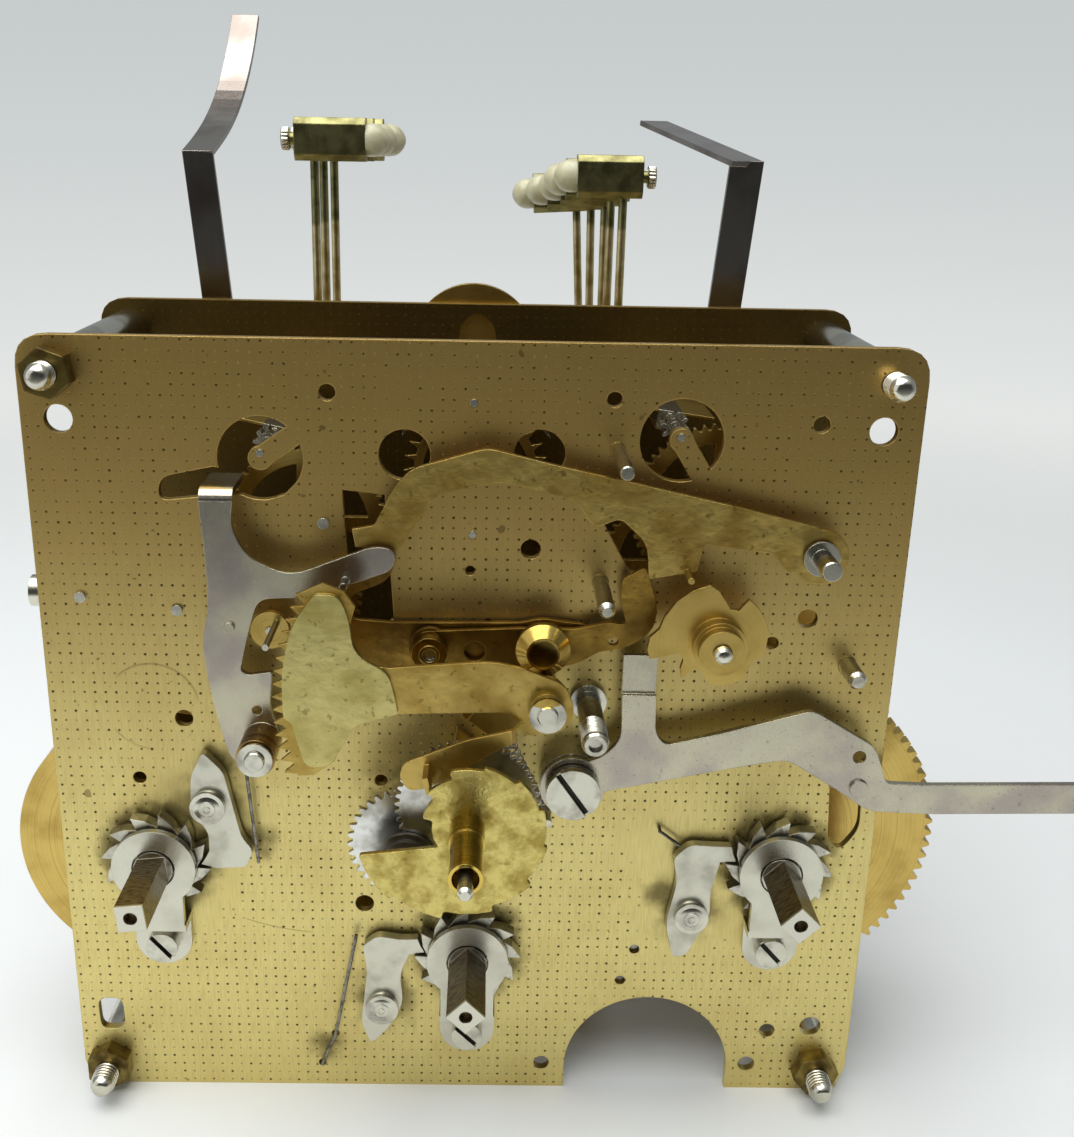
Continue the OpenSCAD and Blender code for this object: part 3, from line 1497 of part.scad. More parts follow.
module slotted_rear(c) {
    difference() {
        rod(c, 2, rear_y + strap_t, rear_y + strap_t + 1.4);
        translate([c[0], rear_y + strap_t + 1.4, c[1]])
            cube([5, 1, 0.7], center = true);
    }
}
right_turn = 13.4;
right_w = strap_w + 0.6;
module right_strap() {
    color(steel) {
        strap_upright(47.7, right_w, -1);
        translate([47.7, rear_y, strap_bend - strap_t])
            rotate([8.2, 0, right_turn])
                translate([-right_w / 2, 0, 0])
                    cube([right_w, 50, strap_t]);
    }
    color(bright_steel)
        slotted_rear([44.3, 55]);
}

// Rack spring: a thin extension spring behind the snail, wound as one round wire
coil_n = 13;
coil_r = 1.1;
wire_r = 0.2;
coil_a = [5.4, -8.9, 8];
coil_b = [12.2, -2.6, -9.2];
function coil_frame() = let (w = unit(coil_b - coil_a), u = unit(cross(w, [0, 1, 0]))) [u, cross(w, u), w];
function coil_point(s, spread) =
    let (f = coil_frame(), a = 360 * s * coil_n)
    coil_a + f[2] * norm(coil_b - coil_a) * s + (coil_r + spread) * (cos(a) * f[0] + sin(a) * f[1]);
rings = coil_n * 8;
coil_points = [for (i = [0:rings]) coil_point(i / rings, 0)];
module rack_spring() {
    tube = [for (i = [0:rings]) let (
        p = coil_points[i],
        t = unit(coil_points[min(i + 1, rings)] - coil_points[max(i - 1, 0)]),
        u = unit(cross(t, coil_frame()[2])), v = cross(t, u))
        each [for (k = [0:5]) p + wire_r * (cos(k * 60) * u + sin(k * 60) * v)]];
    color(steel)
        polyhedron(tube, concat(
            [[for (k = [0:5]) 5 - k]],
            [[for (k = [0:5]) rings * 6 + k]],
            [for (i = [0:rings - 1]) for (k = [0:5]) let (a = i * 6 + k, b = i * 6 + (k + 1) % 6)
                each [[a, b, b + 6], [a, b + 6, a + 6]]]));
}
coil_self_gap = min([for (i = [0:rings]) for (j = [i + 6:rings]) norm(coil_points[i] - coil_points[j])])
    - 2 * wire_r;
echo(str("least gap of the rack spring to itself, mm: ", coil_self_gap));

front_plate();
back_plate();
plate_pillars();
pillar_nuts();
ratchet_retainers();
retainer_screws();
click_rivets();
click_springs();
stop_posts();
lever_studs();
silent_lever_screw();
side_screw();
back_cock();
hammer_brackets();
left_strap();
right_strap();
mainsprings();
rack_spring();
strike_barrel();
going_barrel();
chime_barrel();
strike_winding_arbor();
going_winding_arbor();
chime_winding_arbor();
strike_click();
going_click();
chime_click();
second_wheel();
centre_arbor();
third_wheel();
escape_wheel();
pallet_arbor();
cannon_pinion();
minute_wheel();
hour_wheel();
hour_snail();
strike_pin_wheel();
strike_third_wheel();
gathering_arbor();
gathering_pallet();
strike_warning_wheel();
strike_fly();
chime_second_wheel();
locking_arbor();
locking_cam();
chime_fourth_wheel();
chime_fly();
chime_drum();
rack();
rack_hook();
warning_lever();
lifting_lever();
lock_lever();
silent_lever();
strike_hammers();
chime_hammer_1();
chime_hammer_2();
chime_hammer_3();
chime_hammer_4();
chime_hammer_5();
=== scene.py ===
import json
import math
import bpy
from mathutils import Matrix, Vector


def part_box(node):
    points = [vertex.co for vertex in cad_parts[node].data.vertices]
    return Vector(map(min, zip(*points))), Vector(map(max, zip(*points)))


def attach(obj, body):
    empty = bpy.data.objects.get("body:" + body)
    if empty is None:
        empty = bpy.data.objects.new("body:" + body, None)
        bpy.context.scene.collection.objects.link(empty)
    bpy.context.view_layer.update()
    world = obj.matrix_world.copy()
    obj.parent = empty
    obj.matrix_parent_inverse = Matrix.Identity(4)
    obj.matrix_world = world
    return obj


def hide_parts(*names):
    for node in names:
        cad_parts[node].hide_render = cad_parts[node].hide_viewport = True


bl_info = {
    "name": "Chiming clock movement",
    "version": (1, 0, 0),
    "blender": (4, 5, 0),
    "location": "3D View > Sidebar > Clock movement",
    "description": "Finishes and small turned details of a chiming clock movement",
    "category": "Object",
}

from collections import namedtuple

import bmesh
import bpy
import numpy as np
from bpy.props import FloatProperty, FloatVectorProperty, IntProperty, PointerProperty
from mathutils import Matrix, Vector

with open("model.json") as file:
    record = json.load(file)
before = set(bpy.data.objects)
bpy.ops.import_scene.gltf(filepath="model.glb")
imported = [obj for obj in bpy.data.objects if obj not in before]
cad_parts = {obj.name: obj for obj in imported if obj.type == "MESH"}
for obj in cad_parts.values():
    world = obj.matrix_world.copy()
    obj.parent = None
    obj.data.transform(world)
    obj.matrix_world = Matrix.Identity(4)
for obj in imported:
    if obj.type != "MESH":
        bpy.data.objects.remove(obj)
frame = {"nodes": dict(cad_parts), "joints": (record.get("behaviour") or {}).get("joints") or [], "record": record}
NODES = frame["nodes"]
MM = 0.001


def shade(code):
    """A sRGB hex code as linear red, green and blue, by the standard's two-part curve."""
    part = np.array([int(code[i:i + 2], 16) for i in (0, 2, 4)]) / 255
    linear = np.where(part <= 0.04045, part / 12.92, ((part + 0.055) / 1.055) ** 2.4)
    return tuple(float(v) for v in linear)


def tone(name, code, text):
    """A colour that the sidebar shows."""
    return FloatVectorProperty(name=name, description=text, subtype="COLOR", size=3, min=0, max=1,
                               default=shade(code))


def length(name, value, text, low, high):
    """A length in metres, given here in millimetres, that the sidebar shows."""
    return FloatProperty(name=name, description=text, subtype="DISTANCE", unit="LENGTH", precision=4,
                         default=value * MM, min=low * MM, max=high * MM)


def level(name, value, text, **settings):
    """A strength or power that the sidebar shows."""
    return FloatProperty(name=name, description=text, default=value, min=0, **settings)


# Places in the plane of the plates, right and up from the centre arbor, in millimetres
WINDING = {"strike": (-52.6, -19.5), "going": (0, -37.2), "chime": (52.6, -19.5)}
CLICKS = {"strike": (-43.3, -8.7), "going": (-14.9, -47.8), "chime": (38.2, -28.7)}
RETAINER_SCREWS = [(x, z - 16.4) for x, z in WINDING.values()]
HOOK_AXIS = (-33.2, 5.2)
KNOB = (11.3, 21.6)
WARNING_AXIS = (-6.5, 20.3)
CAM_AXIS = (38.4, 23.5)
COCK_AXIS = (-0.7, 60.4)
BIG_SCREW = (16.8, -3)
HOLLOW_POST = (19.2, 10.4)
MINUTE_STUD = (-9.49, -9.03)
GATHERING = (-31.6, 23.4)

# Depths in millimetres, below 0 in front of the front plate
BACK_PLATE_FRONT = 45.8
RACK_PLATE_FRONT, RACK_PLATE_BACK = -17.15, -15.12
SQUARE_END, SQUARE_START = -18.9, -5.1
BUSH_BACK = -6.22
KNOB_DISH = -8.33
PALLET_PIN = -4.52
RETAINER_SCREW_FACE, BIG_SCREW_FACE = -3.2, -8.1
POST_THREAD_START, POST_THREAD_END = -16.6, -10.5

# Radii and heights in millimetres
PIPE_RADIUS = 3.66
KNOB_RADIUS, DISH_RADIUS = 5.05, 2.15
COLLAR_RADIUS, COLLAR_BORE = 4.05, 1.1
BUSH_RADIUS = 3.52
HAMMER_HEADS_FROM = 81.5
HAMMER_HUBS = 38
RETAINER_SCREW_RADIUS, BIG_SCREW_RADIUS = 2.7, 4.4
STUD_ROOT, STUD_CREST = 1.88, 2.14
POST_ROOT, POST_CREST, POST_PITCH = 1.85, 2.14, 0.55
SCREW_SEAT = 3.4

# Steel inside turned brass: radii in millimetres
ARBOR_CORE, CAM_CORE, CANNON_CORE, PALLET_CORE = 2.4, 1.2, 1.12, 0.62

# Pillar studs: place, depth of the rounded end, and depth where the thread starts to show
STUDS = (((-63.8, 63), -6.6, -3.3), ((63.8, 63), -5, -0.4),
         ((-63.8, -61.6), -8, -3.3), ((62.8, -61.6), -8, -3.3))

# Old oil on the front plate: place, and the distances where it is full and where it ends
OILED = [(c, 8.6, 13) for c in WINDING.values()] + [(c, 2, 10) for c in CLICKS.values()] + [
    ((-41, -2), 1, 4.5), ((-25, -58), 1, 6), (MINUTE_STUD, 5, 13), ((33.5, -26), 1, 6),
    ((-35, -17), 1, 5)]

# Where hands and oil have worn the dots away: place and reach
WORN = ((CLICKS["strike"], 14), (CLICKS["chime"], 15), ((-50, -26), 15), ((33, -16), 12))

# How far the dot grid is shifted, in pitches, with 100 whole ones so that it counts up from 0
DOT_SHIFT = (100.236, 100.295)

# Hammers: depth, place of the foot, tilt in degrees, height of the head, side of the tip, and how far
# the head's end is from the rod
Hammer = namedtuple("Hammer", "body depth foot tilt top way head_end")
HAMMER_DEPTHS = [55 + 6 * i for i in range(5)]
HAMMERS = [Hammer("strike_hammers", depth, foot, 0, 96.6, 1, 9.6)
           for depth, foot in zip(HAMMER_DEPTHS, (-30.4, -29.5, -28.2))]
HAMMERS += [Hammer("chime_hammer_%d" % number, depth, foot, tilt, top, -1, 8.7)
            for number, depth, foot, tilt, top in zip(
                range(1, 6), HAMMER_DEPTHS, (26.6, 24.9, 24.6, 23, 22.1), (0, 0, -0.4, -1.2, -3.2),
                (91, 90.2, 89, 88, 87.4))]


class MovementLook(bpy.types.PropertyGroup):
    """Colours and sizes of the movement's finishes."""
    plate_low: tone("Plate, low", "DCCB86", "Lacquered brass near the plate's bottom edge")
    # painted shade: the plate's high colour is browner and darker, for the dimmer light at the top
    plate_high_shade: tone("Plate, high", "BFA05E", "Browner, aged brass near the plate's top edge")
    stain: tone("Oil stain", "3B2D12", "Old oil round the clicks and pivots")
    lever_brass: tone("Lever brass", "C3A85E", "Stamped brass of the levers and the rack's arm")
    overlay_brass: tone("Rack overlay", "CDC07C", "Paler brass of the rack's toothed plate")
    wheel_brass: tone("Wheel brass", "D0B365", "Cut brass of the wheels and barrels")
    nickel: tone("Nickel", "C3BDA5", "Satin nickel plate on steel")
    steel: tone("Steel", "CFCCBC", "Ground bare steel")
    spring: tone("Spring steel", "8C8880", "Drawn spring wire")
    bronze: tone("Nut brass", "8A7844", "Dark tarnished brass of the hexagon nuts")
    nylon: tone("Nylon", "C4C1A2", "Cream nylon of the hammer tips")
    dot_pitch_x: length("Dot pitch across", 1.7122, "Distance between the stamped dots, across", 1.5, 2)
    dot_pitch_z: length("Dot pitch up", 1.6923, "Distance between the stamped dots, upwards", 1.5, 2)
    thread_pitch: length("Thread pitch", 0.7, "Pitch of the stud threads", 0.4, 1)
    knurls: IntProperty(name="Knurls", description="Ridges round a hammer's set screw", default=20,
                        min=8, max=40)


class StageLook(bpy.types.PropertyGroup):
    """Light and floor."""
    floor: tone("Floor", "E9ECEC", "Pale cloth-like floor")
    backdrop_low: tone("Backdrop, low", "F4F6F2", "Nearly white backdrop below the horizon")
    backdrop_high: tone("Backdrop, high", "C6CBCC", "Greyer backdrop above the horizon")
    key_power: level("Key light", 8, "Power of the soft light above", subtype="POWER", unit="POWER")
    fill_power: level("Fill light", 1.2, "Power of the soft light at the left", subtype="POWER",
                      unit="POWER")
    room: level("Ambient", 0.36, "Strength of the even light of the room")
    dark_front: level("Dark front", 0.21, "How bright the room is in front of the movement, as bare "
                      "metal mirrors it", max=1)
    side_room: level("Sides", 0.5, "How bright the room is at the sides and behind, as bare metal "
                     "mirrors it", max=1)


def add(tree, kind, inputs=None, out=0, **settings):
    """Adds a shader node, gives it its settings, sets or links its inputs, and returns one output."""
    node = tree.nodes.new("ShaderNode" + kind)
    for key, value in settings.items():
        setattr(node, key, value)
    for key, value in (inputs or {}).items():
        if isinstance(value, bpy.types.NodeSocket):
            tree.links.new(value, node.inputs[key])
        else:
            node.inputs[key].default_value = value
    return node.outputs[out]


def mask(tree, *spans):
    """The product of the spans. A span is a value, or a value with its start and end, which makes it
    0 before the start, 1 past the end and smooth between; with the start above the end it falls."""
    product = None
    for span in spans:
        if isinstance(span, tuple):
            value, start, end = span
            span = add(tree, "MapRange", {"Value": value, "From Min": start, "From Max": end},
                       interpolation_type="SMOOTHSTEP")
        product = span if product is None else add(tree, "Math", {0: product, 1: span},
                                                   operation="MULTIPLY")
    return product


def total(tree, base, *parts):
    """A base plus each value times its weight."""
    for value, weight in parts:
        base = add(tree, "Math", {0: value, 1: weight, 2: base}, operation="MULTIPLY_ADD")
    return base


def laid(tree, under, over, *spans):
    """The colour under, with the colour over laid on it as far as the product of the spans says."""
    colours = []
    for colour in (under, over):
        if isinstance(colour, str):
            colour = shade(colour)
        colours.append(colour if isinstance(colour, bpy.types.NodeSocket) else (*colour, 1))
    return add(tree, "Mix", {"Factor": mask(tree, *spans), 6: colours[0], 7: colours[1]}, out=2,
               data_type="RGBA")


class Finish:
    """A material being built: its tree, its shader and the object's own coordinates in millimetres."""

    def __init__(self, name, metallic=1.0):
        self.material = bpy.data.materials.new(name)
        self.material.use_nodes = True
        self.tree = self.material.node_tree
        self.shader = self.tree.nodes["Principled BSDF"]
        self.shader.inputs["Metallic"].default_value = metallic
        place = add(self.tree, "TexCoord", out="Object")
        self.mm = add(self.tree, "VectorMath", {0: place, "Scale": 1 / MM}, operation="SCALE")
        self.x, self.y, self.z = add(self.tree, "SeparateXYZ", {0: self.mm}).node.outputs

    def clouds(self, size, detail, start, end, rough=0.5):
        """Clouds about size millimetres wide: 0 where the noise is below start, 1 where above end."""
        noise = add(self.tree, "TexNoise", {"Vector": self.mm, "Scale": 1 / size, "Detail": detail,
                                            "Roughness": rough})
        return mask(self.tree, (noise, start, end))

    def marks(self, width, run, detail=2):
        """Marks about width millimetres wide, each drawn out by its run along the three axes."""
        spot = add(self.tree, "Mapping", {"Vector": self.mm, "Scale": tuple(1 / r for r in run)})
        return add(self.tree, "TexNoise", {"Vector": spot, "Scale": 1 / width, "Detail": detail})

    def rings(self, *parts):
        """Turning marks: noise along the sum of the values times their weights."""
        return add(self.tree, "TexNoise", {"W": total(self.tree, 0, *parts), "Scale": 1, "Detail": 3},
                   noise_dimensions="1D")

    def from_axis(self, centre):
        """Distance in millimetres from an axis along the depth through centre, right and up."""
        flat = add(self.tree, "CombineXYZ", {0: self.x, 2: self.z})
        return add(self.tree, "VectorMath", {0: flat, 1: (centre[0], 0, centre[1])}, out="Value",
                   operation="DISTANCE")

    def finish(self, colour, roughness, edge_mm=0, relief=None, relief_mm=0):
        """Links colour and roughness. Where there is an edge_mm, edges are rounded to it, and relief
        stands up by relief_mm on the rounded surface."""
        self.tree.links.new(colour, self.shader.inputs["Base Color"])
        self.tree.links.new(roughness, self.shader.inputs["Roughness"])
        if edge_mm:
            normal = add(self.tree, "Bevel", {"Radius": edge_mm * MM}, samples=4)
            if relief is not None:
                normal = add(self.tree, "Bump", {"Height": relief, "Distance": relief_mm * MM,
                                                 "Strength": 1, "Normal": normal})
            self.tree.links.new(normal, self.shader.inputs["Normal"])
        return self.material


def plate_finish(look, inner_face=None):
    """Rolled brass sheet, brushed upwards, stamped with a dot grid and lacquered: a satin, slightly
    hazy sheen, with painted shade that makes it browner towards the top, and dark dots and specks.
    The front plate has old oil round the clicks; a plate with an inner face has painted shade there."""
    f = Finish("lacquered brushed brass sheet" if inner_face is None
               else "lacquered brass sheet, painted shade on inner face")
    t = f.tree
    # painted shade: browner and darker the higher it is, with a cloudy border
    border = add(t, "TexNoise", {"Vector": f.mm, "Scale": 1 / 40, "Detail": 2})
    colour = laid(t, look.plate_low, look.plate_high_shade, (total(t, f.z, (border, 30)), -5, 70))
    colour = laid(t, colour, "B79B5A", f.clouds(14, 4, 0.4, 0.75), 0.25)
    # brush marks are drawn 0.25 mm wide so that they show
    grain = f.marks(0.25, (1, 1, 14))
    colour = laid(t, colour, "9A8148", (grain, 0.35, 0.8), 0.22)
    # stamped dots on the two faces, at the pitch measured in the photograph, each with its own size
    cell = add(t, "CombineXYZ", {0: total(t, DOT_SHIFT[0], (f.x, MM / look.dot_pitch_x)),
                                 1: total(t, DOT_SHIFT[1], (f.z, MM / look.dot_pitch_z))})
    within = add(t, "VectorMath", {0: cell}, operation="FRACTION")
    from_dot = add(t, "VectorMath", {0: within, 1: (0.5, 0.5, 0)}, out="Value", operation="DISTANCE")
    whole = add(t, "VectorMath", {0: cell}, operation="FLOOR")
    own = add(t, "TexWhiteNoise", {"Vector": whole}, out="Value")
    handled = add(t, "TexNoise", {"Vector": f.mm, "Scale": 1 / 22, "Detail": 2})
    left = mask(t, (total(t, handled, (own, 0.12)), 0.3, 0.46))
    for centre, reach in WORN:
        away = total(t, f.from_axis(centre), (own, 4))
        left = mask(t, left, (away, reach * 0.7, reach))
    normal = add(t, "NewGeometry", out="Normal")
    depth_part = add(t, "Math", {0: add(t, "SeparateXYZ", {0: normal}, out=1)}, operation="ABSOLUTE")
    facing = mask(t, (depth_part, 0.7, 0.9))
    share = add(t, "Math", {0: from_dot, 1: total(t, 0.075, (own, 0.06))}, operation="DIVIDE")
    dots = mask(t, (share, 1.3, 0.7), facing, left)
    colour = laid(t, colour, "30250D", dots, total(t, 0.45, (own, 0.45)))
    # dark specks and small chips
    specks = add(t, "Math", {0: f.clouds(1.1, 2, 0.71, 0.75), 1: f.clouds(3.1, 1, 0.76, 0.775)},
                 operation="MAXIMUM")
    colour = laid(t, colour, "6B5430", specks, 0.6, facing)
    oily = 0
    if inner_face is None:
        # old oil round the clicks, ratchets and the snail
        near = 0
        for centre, full, end in OILED:
            near = add(t, "Math", {0: near, 1: mask(t, (f.from_axis(centre), end, full))},
                       operation="MAXIMUM")
        smear = add(t, "TexNoise", {"Vector": f.mm, "Scale": 1 / 4, "Detail": 3})
        oily = mask(t, near, (total(t, smear, (near, 0.25)), 0.45, 0.85))
        colour = laid(t, colour, look.stain, oily, 0.65, facing)
    else:
        # painted shade on the inner face, for the dark space between the plates
        colour = laid(t, colour, "3A2D0E", (f.y, inner_face, inner_face - 0.1), 0.8)
    # a ring scratched by a washer, and a long curved scratch that ends within its limits
    limits = (f.x, -42, -39), (f.x, -17, -20), (f.z, -20, -22)
    for centre, radius, width, ends in (((-52, 8), 7.6, 0.3, ()), ((-24, 6), 40.6, 0.16, limits)):
        off_line = add(t, "Math", {0: total(t, -radius, (f.from_axis(centre), 1))},
                       operation="ABSOLUTE")
        colour = laid(t, colour, "7A6234", (off_line, width, 0.05), f.clouds(9, 1, 0.42, 0.55), *ends,
                      0.45, facing)
    roughness = total(t, 0.33, (grain, 0.12), (dots, 0.2), (oily, 0.12))
    return f.finish(colour, roughness, 0.25, total(t, 0, (grain, 0.1), (dots, -0.4)), 0.06)


def stamped_nickel(look):
    """Blanked steel strip, tumbled and nickel plated: a soft grey satin sheen with a faint warm tinge,
    faint marks along the sheet, and bright rounded edges."""
    f = Finish("stamped steel, satin nickel plate")
    t = f.tree
    colour = laid(t, look.nickel, "A9A096", f.clouds(9, 4, 0.35, 0.7))
    spots = f.clouds(0.9, 3, 0.62, 0.72)
    colour = laid(t, colour, "6F675C", spots, 0.3)
    grain = f.marks(0.2, (1, 1, 5))
    return f.finish(colour, total(t, 0.2, (grain, 0.12), (spots, 0.1)), 0.22, grain, 0.006)


def stamped_brass(name, light, dark):
    """Blanked brass strip left bare: a dull yellow sheen with darker handling marks and small dents."""
    f = Finish(name)
    t = f.tree
    cloud = f.clouds(7, 5, 0.38, 0.72)
    colour = laid(t, light, dark, cloud)
    colour = laid(t, colour, "5E4A1E", f.clouds(1.3, 3, 0.64, 0.7), 0.5)
    dents = add(t, "TexNoise", {"Vector": f.mm, "Scale": 1 / 2.4, "Detail": 2})
    grain = f.marks(0.22, (6, 1, 1))
    return f.finish(colour, total(t, 0.27, (grain, 0.12), (cloud, 0.08)), 0.18,
                    total(t, 0, (dents, 0.8), (grain, 0.08)), 0.16)


def rack_finish(look):
    """The rack: a browner brass arm with a paler toothed plate riveted on, both dull and dented."""
    f = Finish("stamped brass, arm with paler toothed plate")
    t = f.tree
    cloud = f.clouds(6, 5, 0.38, 0.72)
    arm = laid(t, look.lever_brass, "A88A42", cloud)
    plate = laid(t, look.overlay_brass, "B2A45F", cloud)
    colour = laid(t, arm, plate, (f.y, RACK_PLATE_BACK + 0.02, RACK_PLATE_BACK - 0.02),
                  (f.y, RACK_PLATE_FRONT - 0.05, RACK_PLATE_FRONT + 0.05))
    colour = laid(t, colour, "6B5524", f.clouds(1.1, 3, 0.63, 0.7), 0.5)
    dents = add(t, "TexNoise", {"Vector": f.mm, "Scale": 1 / 1.9, "Detail": 3})
    return f.finish(colour, total(t, 0.32, (cloud, 0.1)), 0.16, dents, 0.08)


def turned_brass(look, name, centre, core=0, brown=0.25, pin_from=None):
    """Brass turned on a lathe about an axis along the depth, so its brush marks are rings; inside the
    core radius, and in front of the depth where a pin starts, it is ground steel."""
    f = Finish(name)
    t = f.tree
    radius = f.from_axis(centre)
    rings = f.rings((radius, 3.2), (f.y, 2.1))
    colour = laid(t, look.wheel_brass, "A58540", f.clouds(6, 4, 0.4, 0.75), 0.6)
    colour = laid(t, colour, "6E5624", (rings, 0.4, 0.8), brown)
    roughness = total(t, 0.24, (rings, 0.14))
    if core:
        steel = mask(t, (radius, core + 0.02, core - 0.02))
        if pin_from is not None:
            steel = add(t, "Math", {0: steel, 1: mask(t, (f.y, pin_from, pin_from - 0.04))},
                        operation="MAXIMUM")
        colour = laid(t, colour, look.steel, steel)
        roughness = total(t, roughness, (steel, -0.08))
    return f.finish(colour, roughness, 0.12, rings, 0.01)


def ground_steel(look, name, dark="8E8A80", rough=0.2, size=5):
    """Turned or ground steel, lightly oiled: bright, with darker clouds where oil has dried."""
    f = Finish(name)
    t = f.tree
    cloud = f.clouds(size, 5, 0.4, 0.75)
    colour = laid(t, look.steel, dark, cloud, 0.8)
    grain = f.marks(0.18, (1, 4, 1))
    return f.finish(colour, total(t, rough - 0.04, (grain, 0.12), (cloud, 0.08)), 0.12, grain, 0.006)


def winding_finish(look, name):
    """Milled square and ratchet wheel: ground steel, brownish on the square's flats, with file marks
    across them and old oil between the teeth."""
    f = Finish(name)
    t = f.tree
    filed = f.marks(0.22, (6, 1, 6))
    flats = laid(t, "8A7B5E", "4A3F2C", (filed, 0.35, 0.7))
    flats = laid(t, look.steel, flats, (f.y, SQUARE_END - 0.3, SQUARE_END + 0.3))
    teeth = laid(t, look.steel, "A5A092", f.clouds(4, 4, 0.4, 0.7))
    teeth = laid(t, teeth, "4A4230", f.clouds(1.6, 4, 0.55, 0.7), 0.55)
    colour = laid(t, teeth, flats, (f.y, SQUARE_START + 0.2, SQUARE_START - 0.2))
    return f.finish(colour, total(t, 0.24, (filed, 0.12)), 0.15, filed, 0.012)


def snail_finish():
    """Stamped brass snail: pale, rough and cloudy, with old oil in spots."""
    f = Finish("stamped brass snail, oily")
    t = f.tree
    cloud = f.clouds(3.5, 6, 0.38, 0.66, 0.65)
    colour = laid(t, "CFBE72", "A69149", cloud)
    colour = laid(t, colour, "5F4F20", f.clouds(1.8, 4, 0.6, 0.74), 0.5)
    dents = add(t, "TexNoise", {"Vector": f.mm, "Scale": 1 / 0.9, "Detail": 4, "Roughness": 0.6})
    return f.finish(colour, total(t, 0.24, (cloud, 0.16)), 0.2, dents, 0.06)


def hour_wheel_finish():
    """Nickel plated hour wheel, cool and cloudy, with its bright turned brass pipe."""
    f = Finish("nickel plated wheel with turned brass pipe")
    t = f.tree
    pipe = mask(t, (f.from_axis((0, 0)), PIPE_RADIUS + 0.04, PIPE_RADIUS - 0.04))
    turned_marks = f.marks(0.35, (40, 1, 40))
    brass = laid(t, "D6B95E", "A98838", (turned_marks, 0.4, 0.7))
    metal = laid(t, "DAD9D4", "A8A59C", f.clouds(3, 4, 0.4, 0.7))
    return f.finish(laid(t, metal, brass, pipe), total(t, 0.26, (pipe, -0.1)), 0.1, turned_marks, 0.01)


def minute_wheel_finish():
    """Nickel plated minute wheel with painted shadow of the hour wheel round its hub."""
    f = Finish("nickel plated wheel, painted shadow round hub")
    t = f.tree
    metal = laid(t, "DDDCD7", "ABA89E", f.clouds(3, 4, 0.4, 0.7))
    uneven = add(t, "TexNoise", {"Vector": f.mm, "Scale": 1 / 2, "Detail": 3})
    # painted shadow of the hour wheel in front, darkest round the hub
    oil = mask(t, (total(t, f.from_axis(MINUTE_STUD), (uneven, 2)), 7.5, 5.2))
    return f.finish(laid(t, metal, "4A4538", oil, 0.8), total(t, 0.24, (oil, 0.15)), 0.1)


def studs_finish(look):
    """Levers' studs: ground steel, except the warning lever's collar and the knob, which are turned
    brass. The knob's end is dished, with painted shade in the dish."""
    f = Finish("turned studs, steel and brass")
    t = f.tree
    cloud = f.clouds(4, 4, 0.4, 0.75)
    steel = laid(t, look.steel, "96928A", cloud)
    brass = laid(t, "B89C52", "846A2C", cloud)
    from_knob, from_warning = f.from_axis(KNOB), f.from_axis(WARNING_AXIS)
    # painted shade in the knob's dished end
    brass = laid(t, brass, "33290F", (from_knob, DISH_RADIUS + 0.15, DISH_RADIUS - 0.15),
                 (f.y, KNOB_DISH + 0.03, KNOB_DISH - 0.03), 0.75)
    knob = mask(t, (from_knob, KNOB_RADIUS + 0.05, KNOB_RADIUS - 0.05))
    collar = mask(t, (from_warning, COLLAR_RADIUS + 0.05, COLLAR_RADIUS - 0.05),
                  (from_warning, COLLAR_BORE - 0.02, COLLAR_BORE + 0.02))
    colour = laid(t, steel, brass, add(t, "Math", {0: knob, 1: collar}, operation="MAXIMUM"))
    return f.finish(colour, total(t, 0.16, (cloud, 0.1)), 0.15)


def hook_finish(look):
    """Rack hook: nickel plated strip with a satin sheen, and a browned brass bush."""
    f = Finish("nickel plated hook with brass bush")
    t = f.tree
    metal = laid(t, look.nickel, "A59C93", f.clouds(9, 4, 0.35, 0.7))
    brass = laid(t, "B5935A", "75582C", (f.marks(0.5, (30, 1, 30)), 0.4, 0.7))
    colour = laid(t, metal, brass, (f.from_axis(HOOK_AXIS), BUSH_RADIUS + 0.03, BUSH_RADIUS - 0.02),
                  (f.y, BUSH_BACK + 0.07, BUSH_BACK - 0.08))
    grain = f.marks(0.2, (1, 1, 5))
    return f.finish(colour, total(t, 0.2, (grain, 0.1)), 0.22, grain, 0.006)


def tarnished_nut(look):
    """Hexagon nuts of bar brass, browned by age: dark faces with brighter corners."""
    f = Finish("milled brass nuts, tarnished")
    t = f.tree
    cloud = f.clouds(2.5, 5, 0.35, 0.7)
    colour = laid(t, look.bronze, "5A4B28", cloud)
    pits = add(t, "TexNoise", {"Vector": f.mm, "Scale": 1 / 0.6, "Detail": 3})
    return f.finish(colour, total(t, 0.3, (cloud, 0.15)), 0.35, pits, 0.03)


def spring_wire(look):
    """Drawn music wire: dark grey with a tight highlight."""
    f = Finish("drawn spring wire")
    cloud = f.clouds(1.2, 3, 0.4, 0.7)
    return f.finish(laid(f.tree, look.spring, "5B564C", cloud), total(f.tree, 0.25, (cloud, 0.1)))


def slotted_finish(look, name, centres, radius, face):
    """Turned bright steel screw heads: ring marks on the face, and a sawn slot with painted shade in it.
    The slot is what lies deeper than the face inside the head's radius."""
    f = Finish(name)
    t = f.tree
    away = f.from_axis(centres[0])
    for centre in centres[1:]:
        away = add(t, "Math", {0: away, 1: f.from_axis(centre)}, operation="MINIMUM")
    rings = f.rings((away, 3))
    colour = laid(t, look.steel, "9C988A", f.clouds(3, 4, 0.4, 0.75))
    slot = mask(t, (away, radius - 0.2, radius - 0.3), (f.y, face + 0.06, face + 0.25))
    # painted shade in the slot
    colour = laid(t, colour, "1E1A12", slot, 0.93)
    return f.finish(colour, total(t, 0.17, (rings, 0.14), (slot, 0.3)), 0.12, rings, 0.008)


